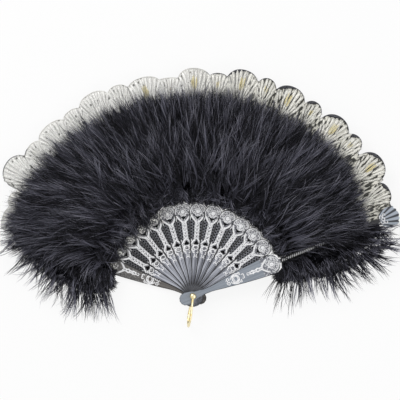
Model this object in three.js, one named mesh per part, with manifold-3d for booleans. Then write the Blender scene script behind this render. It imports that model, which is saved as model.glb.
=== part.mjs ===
import * as THREE from "three";
import Module from "manifold-3d";
import { mergeVertices } from "three/addons/utils/BufferGeometryUtils.js";

// Open feather fan lying flat, in millimetres, +Z up.
// The rivet axis is +Z through the origin, the leaf spreads towards +Y, the front face looks up.
// The origin is the centre of the rivet's rear face, on the table.

// Spread of the sticks
const STICK_COUNT = 12;
const GAP_COUNT = STICK_COUNT + 1;
const LEFT_ANGLE = 159.2;
const RIGHT_ANGLE = 22;
const PITCH_ANGLE = 10.38;

// Stack along the rivet, from the table up
const CLEARANCE = 0.3;
const REAR_HEAD_HEIGHT = 1.2;
const GUARD_THICK = 1.8;
const STICK_THICK = 0.9;
const WIRE_DIAMETER = 2.4;
const CAP_HEIGHT = 2.2;

// Rivet
const PIN_DIAMETER = 3;
const REAR_HEAD_DIAMETER = 8;
const CAP_DIAMETER = 6.4;

// Bail
const BAIL_REACH = 40;
const BAIL_ANGLE = 264;
const EYE_DIAMETER = 7.4;
const EYE_THICK = 2.2;

// Blades
const HEAD_REACH = 116.5;
const HEAD_WIDTH = 22;
const FRONT_HEAD_WIDTH = 25;
const RIVET_LAND_WIDTH = 8.6;
const TAIL_REACH = 14;
const TAIL_WIDTH = 12.4;
const GUARD_TAIL_REACH = 17.6;
const GUARD_TAIL_WIDTH = 16;

// Piercing of the inner blades
const CHEVRON_WIDTH = 13.4;
const TRIANGLE_HEIGHT = 5;
const TRIANGLE_WIDTH = 8;
const LATTICE_ROWS = 7;
const STRIP_WIDTH = 6;
const BLADE_BORDER = 1.5;

// Ribs under the leaf
const RIB_REACH = 272;
const RIB_ROOT_WIDTH = 4.4;
const RIB_TIP_WIDTH = 2.6;
const GUARD_RIB_WIDTH = 5;
const SHELL_START_REACH = 251;
const SHELL_LENGTH = 25;
const SHELL_WIDTH = 24;
const REAR_RIB_REACH = 248;

// Leaf
const LEAF_THICK = 0.5;
const LEAF_MARGIN = 2.5;
const LEFT_VALLEY_ANGLE = 149;
const LEAF_OVERRUN_ANGLE = 1.9;
const PLEAT_RISE = 7.5;
const LEAF_REACH = 290;
const SCALLOP_DEPTH = 19;
const LARGE_SCALLOP_ANGLE = 4.3;
const SMALL_SCALLOP_ANGLE = 2.8;

// Scallop tips, small and large in turn, from right to left
const SCALLOP_TIP_ANGLES = [
  28.4, 35.9, 43.8, 49.9, 57.3, 64, 70.6, 77, 83.3, 89.6, 96.7, 103.1, 110.2, 117, 123.8, 130.6,
  137.6, 144.6, 151.6, 157.2,
];

// Feathers
const FEATHER_MARGIN = 2;
const FEATHER_SPLIT_REACH = 187;
const FEATHER_END_REACH = 253;
const INNER_LOFT = 29;
const OUTER_LOFT = 25;
const EDGE_LOFT = 4;
const LOCK_DEPTH = 4;
const END_LOFT = 27;
const LEFT_END_BASE = 3.6;
const RIGHT_END_BASE = 11;
const END_BULGE_ANGLE = 1.5;

// Edges of the tufts past the guards, as turns away from the guard, which the first point follows
const RIGHT_INNER_EDGE_ANGLES = [5.5, 7.8, 11, 15, 18.2];
const RIGHT_OUTER_EDGE_ANGLES = [4.4, 7.4, 11.2, 14.8, 17.8];
const LEFT_INNER_EDGE_ANGLES = [3.5, 7.3, 11.8, 17.3, 21.8];
const LEFT_OUTER_EDGE_ANGLES = [3.5, 7.6, 11.1, 14.4, 19.3];

// Shares
const BLADE_REACH_SHARES = [0.15, 0.206, 0.262, 0.33, 0.44, 0.58, 0.72, 0.86];
const BLADE_WIDTH_SHARES = [0.266, 0.272, 0.33, 0.43, 0.56, 0.74, 0.87, 0.98];
const CHEVRON_DEPTH_SHARE = 0.739;
const CHEVRON_TIP_SHARE = 0.187;
const ROSE_RADIUS_SHARE = 0.463;
const TRIANGLE_PLACE_SHARE = 0.554;
const LATTICE_START_SHARE = 0.609;
const LATTICE_END_SHARE = 0.833;
const DIAMOND_LENGTH_SHARE = 0.78;
const NECK_BLEND_SHARE = 0.25;
const NECK_PLACE_SHARE = 0.6;
const COLUMN_SHARES = [0.27, 0.75];
const DIAMOND_WIDTH_SHARE = 0.52;
const SHELL_EDGE_SHARES = [
  [0.05, 0.6],
  [0.25, 0.9],
  [0.5, 1],
  [0.76, 1],
  [0.88, 0.9],
  [0.86, 0.7],
  [0.97, 0.5],
  [0.94, 0.34],
  [1, 0.14],
];
const INNER_PROFILE_SHARES = [0.3, 0.85, 1, 0.92, 0.7];
const OUTER_PROFILE_SHARES = [0.72, 0.95, 0.9, 0.62, 0.2];
const END_PROFILE_SHARES = [0.25, 0.85, 1, 0.8, 0.25];
const END_SIDE_SHARES = [0.55, 0.95, 1, 0.92, 0.7, 0.3];
const SCALLOP_TIP_SHARES = [
  0.9569, 1, 0.9862, 0.9948, 0.9862, 0.9966, 0.9879, 0.9966, 0.9638, 0.9793, 0.9448, 0.9638,
  0.9638, 0.9776, 0.9569, 0.9655, 0.9569, 0.9862, 0.9, 0.8897,
];
const LEFT_VALLEY_SHARE = 0.859;
const RIGHT_INNER_EDGE_SHARES = [1.013, 0.962, 0.895, 0.895, 0.945, 1.021];
const RIGHT_OUTER_EDGE_SHARES = [0.99, 1.02, 0.968, 0.884, 0.793, 0.685];
const LEFT_INNER_EDGE_SHARES = [0.954, 0.903, 0.852, 0.835, 0.886, 0.962];
const LEFT_OUTER_EDGE_SHARES = [1, 0.968, 0.952, 0.895, 0.798, 0.645];
const RIB_DIP_SHARE = 0.4;
const LAST_RIDGE_SHARE = 1 / 3;
const LAST_LANDING_SHARE = 2 / 3;
const DIP_SHARE = 0.12;

const rad = (degrees) => THREE.MathUtils.degToRad(degrees);
const mix = (a, b, share) => a + (b - a) * share;

const rearEyeBase = REAR_HEAD_HEIGHT + CLEARANCE;
const guardBackBase = rearEyeBase + WIRE_DIAMETER + CLEARANCE;
const firstStickBase = guardBackBase + GUARD_THICK + CLEARANCE;
const stickStep = STICK_THICK + CLEARANCE;
const guardFrontBase = firstStickBase + STICK_COUNT * stickStep;
const guardFrontTop = guardFrontBase + GUARD_THICK;
const frontEyeBase = guardFrontTop + CLEARANCE;
const capBase = frontEyeBase + WIRE_DIAMETER + CLEARANCE;

const leafStart = HEAD_REACH + LEAF_MARGIN;
const leafValley = LEAF_REACH - SCALLOP_DEPTH;
const featherStart = HEAD_REACH + FEATHER_MARGIN;

const stickBase = (k) => firstStickBase + (k - 1) * stickStep;
const ribTop = (k) => (k === 0 ? guardBackBase + GUARD_THICK : stickBase(k) + STICK_THICK);
const stickAngle = (k) => (k === GAP_COUNT ? RIGHT_ANGLE : LEFT_ANGLE - k * PITCH_ANGLE);

const materials = {
  blade: new THREE.MeshStandardMaterial({ color: 0x7b7d88, roughness: 0.35, metalness: 0.1 }),
  guard: new THREE.MeshStandardMaterial({ color: 0x9098a2, roughness: 0.35, metalness: 0.1 }),
  brass: new THREE.MeshStandardMaterial({ color: 0xd9c37a, roughness: 0.25, metalness: 1 }),
  lace: new THREE.MeshStandardMaterial({ color: 0x8d8b84, roughness: 0.9, metalness: 0 }),
  feather: new THREE.MeshStandardMaterial({ color: 0x1b1b20, roughness: 0.95, metalness: 0 }),
};

const fan = new THREE.Group();
fan.name = "feather_fan";

function addPiece(name, geometry, material) {
  const mesh = new THREE.Mesh(geometry, material);
  mesh.name = name;
  fan.add(mesh);
}

// Blades, drawn along +X with the rivet at zero
function bladeHalfWidth(reach) {
  const share = reach / HEAD_REACH;
  const last = BLADE_REACH_SHARES.length - 1;
  if (share >= BLADE_REACH_SHARES[last]) {
    return (BLADE_WIDTH_SHARES[last] * HEAD_WIDTH) / 2;
  }
  let i = 0;
  while (i < last - 1 && BLADE_REACH_SHARES[i + 1] < share) {
    i += 1;
  }
  const span = BLADE_REACH_SHARES[i + 1] - BLADE_REACH_SHARES[i];
  const part = (share - BLADE_REACH_SHARES[i]) / span;
  return (mix(BLADE_WIDTH_SHARES[i], BLADE_WIDTH_SHARES[i + 1], part) * HEAD_WIDTH) / 2;
}

function tailAndBladeSide(tailReach, tailWidth, headWidth) {
  const lobe = tailWidth / 2;
  const centre = lobe - tailReach;
  const land = RIVET_LAND_WIDTH / 2;
  const neckReach = BLADE_REACH_SHARES[0] * HEAD_REACH;
  const neck = mix(BLADE_WIDTH_SHARES[0] * headWidth, RIVET_LAND_WIDTH, NECK_BLEND_SHARE) / 2;
  const points = [];
  for (const turn of [180, 150, 120, 90]) {
    points.push([centre + lobe * Math.cos(rad(turn)), lobe * Math.sin(rad(turn))]);
  }
  points.push([0, mix(lobe, land, 0.5)]);
  points.push([land, land]);
  points.push([mix(land, neckReach, NECK_PLACE_SHARE), neck]);
  for (let i = 0; i < BLADE_REACH_SHARES.length; i += 1) {
    points.push([BLADE_REACH_SHARES[i] * HEAD_REACH, (BLADE_WIDTH_SHARES[i] * headWidth) / 2]);
  }
  return points;
}

function headSide(ribWidth, headWidth) {
  const radius = headWidth / 2;
  const centre = HEAD_REACH - radius;
  const ribTurn = THREE.MathUtils.radToDeg(Math.asin(ribWidth / headWidth));
  const points = [];
  for (const share of [0, 0.2, 0.4, 0.6, 0.8, 1]) {
    const turn = mix(90, ribTurn, share);
    points.push([centre + radius * Math.cos(rad(turn)), radius * Math.sin(rad(turn))]);
  }
  return points;
}

function mirrored(side) {
  const back = side.slice(1).reverse();
  return side.concat(back.map((p) => [p[0], -p[1]])).reverse();
}

function pathOf(points, Kind) {
  const path = new Kind();
  points.forEach((p, i) => {
    if (i === 0) {
      path.moveTo(p[0], p[1]);
    } else {
      path.lineTo(p[0], p[1]);
    }
  });
  path.closePath();
  return path;
}

function stickOutline() {
  const side = tailAndBladeSide(TAIL_REACH, TAIL_WIDTH, HEAD_WIDTH);
  side.push(...headSide(RIB_ROOT_WIDTH, HEAD_WIDTH));
  side.push([RIB_REACH - RIB_TIP_WIDTH / 2, RIB_TIP_WIDTH / 2]);
  side.push([RIB_REACH, RIB_TIP_WIDTH / 4]);
  return mirrored(side);
}

// The front guard's rib ends in a scallop shell, the rear guard's ends plain under the leaf
function guardOutline(hasShell) {
  const headWidth = hasShell ? FRONT_HEAD_WIDTH : HEAD_WIDTH;
  const side = tailAndBladeSide(GUARD_TAIL_REACH, GUARD_TAIL_WIDTH, headWidth);
  side.push(...headSide(GUARD_RIB_WIDTH, headWidth));
  if (!hasShell) {
    side.push([REAR_RIB_REACH - GUARD_RIB_WIDTH / 2, GUARD_RIB_WIDTH / 2]);
    side.push([REAR_RIB_REACH, GUARD_RIB_WIDTH / 4]);
    return mirrored(side);
  }
  side.push([SHELL_START_REACH, GUARD_RIB_WIDTH / 2]);
  for (const [along, across] of SHELL_EDGE_SHARES) {
    side.push([SHELL_START_REACH + SHELL_LENGTH * along, (SHELL_WIDTH / 2) * across]);
  }
  return mirrored(side);
}

function holeRing(radius, sides) {
  const points = [];
  for (let i = 0; i < sides; i += 1) {
    const turn = (i / sides) * 2 * Math.PI;
    points.push([radius * Math.cos(turn), radius * Math.sin(turn)]);
  }
  return points;
}

function chevron() {
  const centre = HEAD_REACH - HEAD_WIDTH / 2;
  const radius = CHEVRON_WIDTH * ROSE_RADIUS_SHARE;
  const tip = centre - CHEVRON_WIDTH * CHEVRON_TIP_SHARE;
  const points = [
    [centre - CHEVRON_WIDTH * CHEVRON_DEPTH_SHARE, 0],
    [tip, CHEVRON_WIDTH / 2],
  ];
  for (const turn of [128, 152, 180, 208, 232]) {
    points.push([centre + radius * Math.cos(rad(turn)), radius * Math.sin(rad(turn))]);
  }
  points.push([tip, -CHEVRON_WIDTH / 2]);
  return points;
}

function triangle() {
  const reach = HEAD_REACH * TRIANGLE_PLACE_SHARE;
  return [
    [reach, -TRIANGLE_WIDTH / 2],
    [reach + TRIANGLE_HEIGHT, 0],
    [reach, TRIANGLE_WIDTH / 2],
  ];
}

// Two staggered columns of diamonds on each side of the middle strip
function diamonds() {
  const found = [];
  const start = HEAD_REACH * LATTICE_START_SHARE;
  const pitch = (HEAD_REACH * LATTICE_END_SHARE - start) / LATTICE_ROWS;
  const halfLength = (pitch * DIAMOND_LENGTH_SHARE) / 2;
  for (const side of [-1, 1]) {
    for (let row = 0; row < LATTICE_ROWS; row += 1) {
      for (const column of [0, 1]) {
        const reach = start + (row + column / 2) * pitch;
        const inner = STRIP_WIDTH / 2;
        const panel = bladeHalfWidth(reach) - BLADE_BORDER - inner;
        const across = side * (inner + panel * COLUMN_SHARES[column]);
        const halfWidth = (panel * DIAMOND_WIDTH_SHARE) / 2;
        found.push([
          [reach - halfLength, across],
          [reach, across - halfWidth],
          [reach + halfLength, across],
          [reach, across + halfWidth],
        ]);
      }
    }
  }
  return found;
}

function plateFrom(outline, holes, thick, base, angle) {
  const shape = pathOf(outline, THREE.Shape);
  for (const hole of holes) {
    shape.holes.push(pathOf(hole, THREE.Path));
  }
  const geometry = new THREE.ExtrudeGeometry(shape, { depth: thick, bevelEnabled: false });
  geometry.rotateZ(rad(angle));
  geometry.translate(0, 0, base);
  return geometry;
}

function addGuardsAndSticks() {
  const bore = holeRing(PIN_DIAMETER / 2 + CLEARANCE, 16);
  const rear = plateFrom(guardOutline(false), [bore], GUARD_THICK, guardBackBase, LEFT_ANGLE);
  addPiece("guard_back", rear, materials.guard);
  const outline = stickOutline();
  const holes = [bore, chevron(), triangle(), ...diamonds()];
  for (let k = 1; k <= STICK_COUNT; k += 1) {
    const plate = plateFrom(outline, holes, STICK_THICK, stickBase(k), stickAngle(k));
    addPiece(`stick_${String(k).padStart(2, "0")}`, plate, materials.blade);
  }
  const front = plateFrom(guardOutline(true), [bore], GUARD_THICK, guardFrontBase, RIGHT_ANGLE);
  addPiece("guard_front", front, materials.guard);
}

// Rivet: a pin with a flat rear head, and a domed front cap pressed over its end
function latheOf(points, sides) {
  const profile = points.map((p) => new THREE.Vector2(p[0], p[1]));
  profile.push(profile[0].clone());
  const geometry = new THREE.LatheGeometry(profile, sides);
  geometry.rotateX(Math.PI / 2);
  return geometry;
}

function addRivet() {
  const pin = PIN_DIAMETER / 2;
  const head = REAR_HEAD_DIAMETER / 2;
  const chamfer = REAR_HEAD_HEIGHT / 3;
  const pinTop = capBase + CAP_HEIGHT / 2;
  const pinProfile = [
    [0, 0],
    [head - chamfer, 0],
    [head, chamfer],
    [head, REAR_HEAD_HEIGHT - chamfer],
    [head - chamfer, REAR_HEAD_HEIGHT],
    [pin, REAR_HEAD_HEIGHT],
    [pin, pinTop],
    [0, pinTop],
  ];
  addPiece("rivet_pin", latheOf(pinProfile, 24), materials.brass);
  const cap = CAP_DIAMETER / 2;
  const bore = pin + CLEARANCE;
  const roof = pinTop + CLEARANCE;
  const top = capBase + CAP_HEIGHT;
  const capProfile = [
    [0, roof],
    [bore, roof],
    [bore, capBase],
    [cap, capBase],
    [cap, mix(capBase, top, 0.35)],
    [cap * 0.82, mix(capBase, top, 0.75)],
    [cap * 0.45, mix(capBase, top, 0.96)],
    [0, top],
  ];
  addPiece("rivet_cap", latheOf(capProfile, 24), materials.brass);
}

// Bail: a wire bent to a U that straddles the stack, with a flat eye at each end
class BailPath extends THREE.Curve {
  constructor(start, end, low, high) {
    super();
    this.start = start;
    this.end = end;
    this.low = low;
    this.high = high;
  }

  getPoint(share, target = new THREE.Vector3()) {
    const bend = (this.high - this.low) / 2;
    const leg = this.end - this.start;
    const arc = Math.PI * bend;
    const along = share * (2 * leg + arc);
    if (along < leg) {
      return target.set(this.start + along, 0, this.low);
    }
    if (along > leg + arc) {
      return target.set(this.end - (along - leg - arc), 0, this.high);
    }
    const turn = (along - leg) / bend;
    return target.set(this.end + bend * Math.sin(turn), 0, this.low + bend - bend * Math.cos(turn));
  }
}

function eyeGeometry(middle) {
  const hole = PIN_DIAMETER / 2 + CLEARANCE;
  const rim = EYE_DIAMETER / 2;
  const profile = [
    [hole, middle - EYE_THICK / 2],
    [rim, middle - EYE_THICK / 2],
    [rim, middle + EYE_THICK / 2],
    [hole, middle + EYE_THICK / 2],
  ];
  return latheOf(profile, 24);
}

function solidOf(wasm, geometry) {
  const bare = geometry.clone();
  bare.deleteAttribute("normal");
  bare.deleteAttribute("uv");
  const merged = mergeVertices(bare);
  const triVerts = new Uint32Array(merged.index.array);
  const vertProperties = new Float32Array(merged.attributes.position.array);
  return new wasm.Manifold(new wasm.Mesh({ numProp: 3, vertProperties, triVerts }));
}

function geometryOf(solid) {
  const mesh = solid.getMesh();
  const geometry = new THREE.BufferGeometry();
  geometry.setAttribute("position", new THREE.BufferAttribute(mesh.vertProperties, 3));
  geometry.setIndex(new THREE.BufferAttribute(mesh.triVerts, 1));
  return withNormals(geometry);
}

function withNormals(geometry) {
  const flat = geometry.toNonIndexed();
  flat.computeVertexNormals();
  return flat;
}

async function addBail() {
  const wasm = await Module();
  wasm.setup();
  const low = rearEyeBase + WIRE_DIAMETER / 2;
  const high = frontEyeBase + WIRE_DIAMETER / 2;
  const end = BAIL_REACH - WIRE_DIAMETER / 2 - (high - low) / 2;
  const start = (EYE_DIAMETER + PIN_DIAMETER + CLEARANCE) / 4;
  const path = new BailPath(start, end, low, high);
  const section = pathOf(holeRing(WIRE_DIAMETER / 2, 10), THREE.Shape);
  const wire = new THREE.ExtrudeGeometry(section, { steps: 30, extrudePath: path, bevelEnabled: false });
  const eyes = solidOf(wasm, eyeGeometry(low)).add(solidOf(wasm, eyeGeometry(high)));
  const bail = geometryOf(eyes.add(solidOf(wasm, wire)));
  bail.rotateZ(rad(BAIL_ANGLE));
  addPiece("bail", bail, materials.brass);
}

// A closed shell between two grids of points, lower and upper, given by column and row
function shellBetween(columns, rows, lower, upper) {
  const positions = [];
  const index = [];
  const wide = rows + 1;
  const layer = (columns + 1) * wide;
  for (const corner of [lower, upper]) {
    for (let i = 0; i <= columns; i += 1) {
      for (let j = 0; j <= rows; j += 1) {
        positions.push(...corner(i, j));
      }
    }
  }
  const quad = (a, b, c, d) => index.push(a, c, b, a, d, c);
  for (let i = 0; i < columns; i += 1) {
    for (let j = 0; j < rows; j += 1) {
      const a = i * wide + j;
      quad(a, a + wide, a + wide + 1, a + 1);
      quad(layer + a, layer + a + 1, layer + a + wide + 1, layer + a + wide);
    }
  }
  for (let i = 0; i < columns; i += 1) {
    const a = i * wide;
    quad(a, layer + a, layer + a + wide, a + wide);
    quad(a + rows, a + rows + wide, layer + a + rows + wide, layer + a + rows);
  }
  for (let j = 0; j < rows; j += 1) {
    const b = columns * wide + j;
    quad(j, j + 1, layer + j + 1, layer + j);
    quad(b, layer + b, layer + b + 1, b + 1);
  }
  const geometry = new THREE.BufferGeometry();
  geometry.setAttribute("position", new THREE.Float32BufferAttribute(positions, 3));
  geometry.setIndex(index);
  return withNormals(geometry);
}

function polar(reach, angle, height) {
  return [reach * Math.cos(rad(angle)), reach * Math.sin(rad(angle)), height];
}

const angleAcross = (length, reach) => THREE.MathUtils.radToDeg(length / reach);

// Leaf: one mountain fold in each gap, from the front of one rib to the front of the next
function ridgeShare(gap, share) {
  const last = gap === GAP_COUNT;
  const peak = last ? LAST_RIDGE_SHARE : 0.5;
  const landing = last ? LAST_LANDING_SHARE : 1;
  if (share <= 0 || share >= landing) {
    return 0;
  }
  return share < peak ? share / peak : (landing - share) / (landing - peak);
}

function leafBottom(gap, share, reach) {
  const last = gap === GAP_COUNT;
  const from = ribTop(gap - 1) + CLEARANCE;
  const landing = last ? LAST_LANDING_SHARE : 1;
  const to = last ? guardFrontBase - CLEARANCE - LEAF_THICK : ribTop(gap) + CLEARANCE;
  const level = mix(from, to, THREE.MathUtils.clamp(share / landing, 0, 1));
  return level + ((PLEAT_RISE * reach) / LEAF_REACH) * ridgeShare(gap, share);
}

function scallopReach(angle) {
  const valley = angle > LEFT_VALLEY_ANGLE ? LEAF_REACH * LEFT_VALLEY_SHARE : leafValley;
  let reach = valley;
  SCALLOP_TIP_ANGLES.forEach((centre, i) => {
    const tip = LEAF_REACH * SCALLOP_TIP_SHARES[i];
    const half = i % 2 === 0 ? SMALL_SCALLOP_ANGLE : LARGE_SCALLOP_ANGLE;
    const off = Math.abs(angle - centre) / half;
    if (off < 1) {
      reach = Math.max(reach, mix(valley, tip, Math.sqrt(1 - off * off)));
    }
  });
  return reach;
}

function gapAngle(gap, share, reach) {
  const inset = angleAcross(CLEARANCE / 2, reach);
  const left = stickAngle(gap - 1) - inset;
  const right = stickAngle(gap) + inset;
  return mix(left, right, share);
}

function addLeaf() {
  const fine = 12;
  const rows = 2;
  for (let gap = 1; gap <= GAP_COUNT; gap += 1) {
    const overrun = gap === 1 ? Math.round((LEAF_OVERRUN_ANGLE / PITCH_ANGLE) * fine) : 0;
    const columns = fine + overrun;
    const place = (i, j) => {
      const share = (i - overrun) / fine;
      const edge = scallopReach(gapAngle(gap, share, leafValley));
      const reach = mix(leafStart, edge, j / rows);
      return { share, reach, angle: gapAngle(gap, share, reach) };
    };
    const lower = (i, j) => {
      const p = place(i, j);
      return polar(p.reach, p.angle, leafBottom(gap, p.share, p.reach));
    };
    const upper = (i, j) => {
      const p = place(i, j);
      return polar(p.reach, p.angle, leafBottom(gap, p.share, p.reach) + LEAF_THICK);
    };
    addPiece(`leaf_${String(gap).padStart(2, "0")}`, shellBetween(columns, rows, lower, upper), materials.lace);
  }
}

// Feathers: two rows of tufts over the leaf, one tuft of each row in each gap
function addFeatherRow(row, start, end, loft, profile) {
  const rows = profile.length - 1;
  const outerRow = row === "outer";
  for (let gap = 1; gap <= GAP_COUNT; gap += 1) {
    const last = gap === GAP_COUNT;
    const columns = last ? 6 : 4;
    const place = (i, j) => {
      const share = i / columns;
      const lock = i % 2 === 0 ? -LOCK_DEPTH / 2 : LOCK_DEPTH / 2;
      const from = start + (outerRow || last ? 0 : lock / 2);
      const to = end + (outerRow ? lock : 0);
      const reach = mix(from, to, j / rows);
      let angle = gapAngle(gap, share, reach);
      if (last && i === columns) {
        const rib = GUARD_RIB_WIDTH / 2;
        angle = stickAngle(gap) + angleAcross(outerRow ? -rib : rib + CLEARANCE, reach);
      }
      const trueShare = (stickAngle(gap - 1) - angle) / (stickAngle(gap - 1) - stickAngle(gap));
      let base = leafBottom(gap, trueShare, reach) + LEAF_THICK + CLEARANCE;
      if (last && outerRow) {
        base = Math.max(base, guardFrontTop + CLEARANCE);
      }
      return { share, reach, angle, base };
    };
    const lower = (i, j) => {
      const p = place(i, j);
      return polar(p.reach, p.angle, p.base);
    };
    const upper = (i, j) => {
      const p = place(i, j);
      const dip = 1 - DIP_SHARE * Math.abs(2 * p.share - 1);
      const toRib = last && !outerRow ? mix(1, RIB_DIP_SHARE, p.share * p.share) : 1;
      const level = ribTop(gap - 1) + LEAF_THICK + 2 * CLEARANCE;
      const height = level + EDGE_LOFT + loft * profile[j] * dip * toRib;
      return polar(p.reach, p.angle, Math.max(height, p.base + EDGE_LOFT));
    };
    const name = `feather_${row}_${String(gap).padStart(2, "0")}`;
    addPiece(name, shellBetween(columns, rows, lower, upper), materials.feather);
  }
}

// The edge of a tuft past a guard, as reach and angle, which starts along the guard's rib
function tuftEdge(guardAngle, side, firstOffset, angles, reach, shares) {
  return shares.map((share, i) => {
    const turn = i === 0 ? angleAcross(firstOffset, reach * share) : angles[i - 1];
    return [reach * share, guardAngle + side * turn];
  });
}

// Tufts past the guards, between an inner and an outer edge
function addEndTuft(name, inner, outer, side, baseNear, baseFar, shelf) {
  const columns = inner.length - 1;
  const rows = END_PROFILE_SHARES.length - 1;
  const place = (i, j) => {
    const along = j / rows;
    const reach = mix(inner[i][0], outer[i][0], along);
    const bulge = Math.sin(Math.PI * along) * END_BULGE_ANGLE * Math.pow(i / columns, 2);
    const angle = mix(inner[i][1], outer[i][1], along) + side * bulge;
    const out = Math.max(0, (i - shelf) / (columns - shelf));
    return { reach, angle, base: mix(baseNear, baseFar, out) };
  };
  const lower = (i, j) => {
    const p = place(i, j);
    return polar(p.reach, p.angle, p.base);
  };
  const upper = (i, j) => {
    const p = place(i, j);
    const height = EDGE_LOFT + END_LOFT * END_PROFILE_SHARES[j] * END_SIDE_SHARES[i];
    return polar(p.reach, p.angle, p.base + height);
  };
  const geometry =
    side > 0
      ? shellBetween(columns, rows, upper, lower)
      : shellBetween(columns, rows, lower, upper);
  addPiece(name, geometry, materials.feather);
}

function addFeathers() {
  const split = FEATHER_SPLIT_REACH;
  const halfGap = CLEARANCE / 2;
  addFeatherRow("inner", featherStart, split - halfGap, INNER_LOFT, INNER_PROFILE_SHARES);
  addFeatherRow("outer", split + halfGap, FEATHER_END_REACH, OUTER_LOFT, OUTER_PROFILE_SHARES);
  const leafFront = ribTop(0) + 2 * CLEARANCE + LEAF_THICK;
  const left = (angles, reach, shares) => tuftEdge(LEFT_ANGLE, 1, CLEARANCE, angles, reach, shares);
  const leftInner = left(LEFT_INNER_EDGE_ANGLES, featherStart, LEFT_INNER_EDGE_SHARES);
  const leftOuter = left(LEFT_OUTER_EDGE_ANGLES, REAR_RIB_REACH, LEFT_OUTER_EDGE_SHARES);
  addEndTuft("feather_end_left", leftInner, leftOuter, 1, leafFront, LEFT_END_BASE, 1);
  const ribEdge = GUARD_RIB_WIDTH / 2 + 2 * CLEARANCE;
  const right = (angles, reach, shares) => tuftEdge(RIGHT_ANGLE, -1, ribEdge, angles, reach, shares);
  const rightInner = right(RIGHT_INNER_EDGE_ANGLES, featherStart, RIGHT_INNER_EDGE_SHARES);
  const rightOuter = right(RIGHT_OUTER_EDGE_ANGLES, SHELL_START_REACH, RIGHT_OUTER_EDGE_SHARES);
  addEndTuft("feather_end_right", rightInner, rightOuter, -1, RIGHT_END_BASE, RIGHT_END_BASE, 0);
}

addGuardsAndSticks();
addRivet();
await addBail();
addLeaf();
addFeathers();

export default fan;
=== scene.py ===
"""Open black feather fan, lying flat and seen from straight above. Sizes in the code are in millimetres,
and the scene is in metres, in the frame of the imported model."""

import math
from types import SimpleNamespace

import bmesh
import bpy
import numpy as np
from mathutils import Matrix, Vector


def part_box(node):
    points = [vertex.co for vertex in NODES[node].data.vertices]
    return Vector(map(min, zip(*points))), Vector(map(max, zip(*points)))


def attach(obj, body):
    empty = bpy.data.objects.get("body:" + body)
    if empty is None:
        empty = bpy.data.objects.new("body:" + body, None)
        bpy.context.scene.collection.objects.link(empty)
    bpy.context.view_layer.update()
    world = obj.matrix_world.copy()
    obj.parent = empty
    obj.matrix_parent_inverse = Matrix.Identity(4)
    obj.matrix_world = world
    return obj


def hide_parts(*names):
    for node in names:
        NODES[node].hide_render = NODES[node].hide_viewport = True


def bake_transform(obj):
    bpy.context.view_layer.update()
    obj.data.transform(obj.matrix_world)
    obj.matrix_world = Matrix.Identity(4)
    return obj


bl_info = {
    "name": "Feather fan",
    "version": (1, 0, 0),
    "blender": (4, 5, 0),
    "location": "View3D > Sidebar > Feather fan",
    "description": "Dresses the sticks, the lace leaf and the feathers of a folding feather fan",
    "category": "Object",
}

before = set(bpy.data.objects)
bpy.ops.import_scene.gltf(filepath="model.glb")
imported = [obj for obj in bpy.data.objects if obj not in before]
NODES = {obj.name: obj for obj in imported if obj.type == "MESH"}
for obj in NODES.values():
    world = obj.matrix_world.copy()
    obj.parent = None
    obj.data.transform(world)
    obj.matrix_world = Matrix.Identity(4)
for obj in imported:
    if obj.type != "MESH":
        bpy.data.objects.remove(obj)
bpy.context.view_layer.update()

MM = 0.001
GAPS = 13
LEFT_ANGLE = 159.2
PITCH_ANGLE = 10.38
RIGHT_ANGLE = 22.0

BLADE_THICKNESS = 0.9
GUARD_THICKNESS = 1.8
HEAD_CENTRE = 105.5
HEAD_REACH = 116.5
HEAD_RADIUS = 11.0
FRONT_HEAD_RADIUS = 12.5
ROSE_REACH = 105.8
BEAD_RADIUS = 0.5
BLADE_REACHES = [17.5, 24.0, 30.5, 38.4, 51.3, 67.6, 83.9, 100.2]
BLADE_HALF_WIDTHS = [2.93, 2.99, 3.63, 4.73, 6.16, 8.14, 9.57, 10.78]
WIDEST = 20.0

LEAF_START = 119.0
LEAF_VALLEY = 271.0
# past this angle, in degrees, the valleys between the scallops lie at a shorter reach
LEFT_VALLEY_FROM = 149
LEFT_VALLEY = 249.0
LEAF_REACH = 290.0
LEAF_TOP = 0.5
LEAF_COLUMNS = 36
LEAF_ROWS = 26
OVERRUN_COLUMNS = 6
OVERRUN_ANGLE = 1.6
FOLD_RISE = 7.5
RIB_SPARE = 0.3
STICK_STEP = 1.2
RIM_STEPS = 60
# scallops up to these angles have a wide binding, and gold stitches
WIDE_RIM_TO = 66
GOLD_TO = 105

# Scallops of the leaf, small and large in turn from right to left: angle, and reach of the tip
SCALLOPS = [
    (28.4, 277.5), (35.9, 290.0), (43.8, 286.0), (49.9, 288.5), (57.3, 286.0), (64.0, 289.0),
    (70.6, 286.5), (77.0, 289.0), (83.3, 279.5), (89.6, 284.0), (96.7, 274.0), (103.1, 279.5),
    (110.2, 279.5), (117.0, 283.5), (123.8, 277.5), (130.6, 280.0), (137.6, 277.5), (144.6, 286.0),
    (151.6, 261.0), (157.2, 258.0),
]
LARGE_SCALLOP = 4.3
SMALL_SCALLOP = 2.8

# Tiers of petals by whether the scallop is large: near end, far end, count, spread in degrees, width
SILVER_TIERS = {True: [(8, 24, 7, 27, 2.9), (20, 37, 8, 29, 3.8), (33, 54, 8, 27, 4.8)],
                False: [(6, 19, 5, 24, 2.7), (16, 30, 6, 25, 3.4), (26, 42, 6, 22, 4.2)]}
GOLD_TIERS = {True: [(28, 45, 3, 5, 1.7), (30, 40, 2, 9, 1.3)], False: [(24, 32, 2, 6, 1.3)]}
# A petal's outline, as shares of its length and its width, and its section, as shares of its half width
# across and millimetres up
PETAL_SHAPE = [(0.0, 0.15), (0.12, 0.5), (0.35, 0.72), (0.62, 1.0), (0.84, 0.86), (1.0, 0.25)]
PETAL_SECTION = [(1.0, -0.25), (0.55, 0.35), (-0.55, 0.35), (-1.0, -0.25), (-0.5, -0.45), (0.5, -0.45)]
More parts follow.
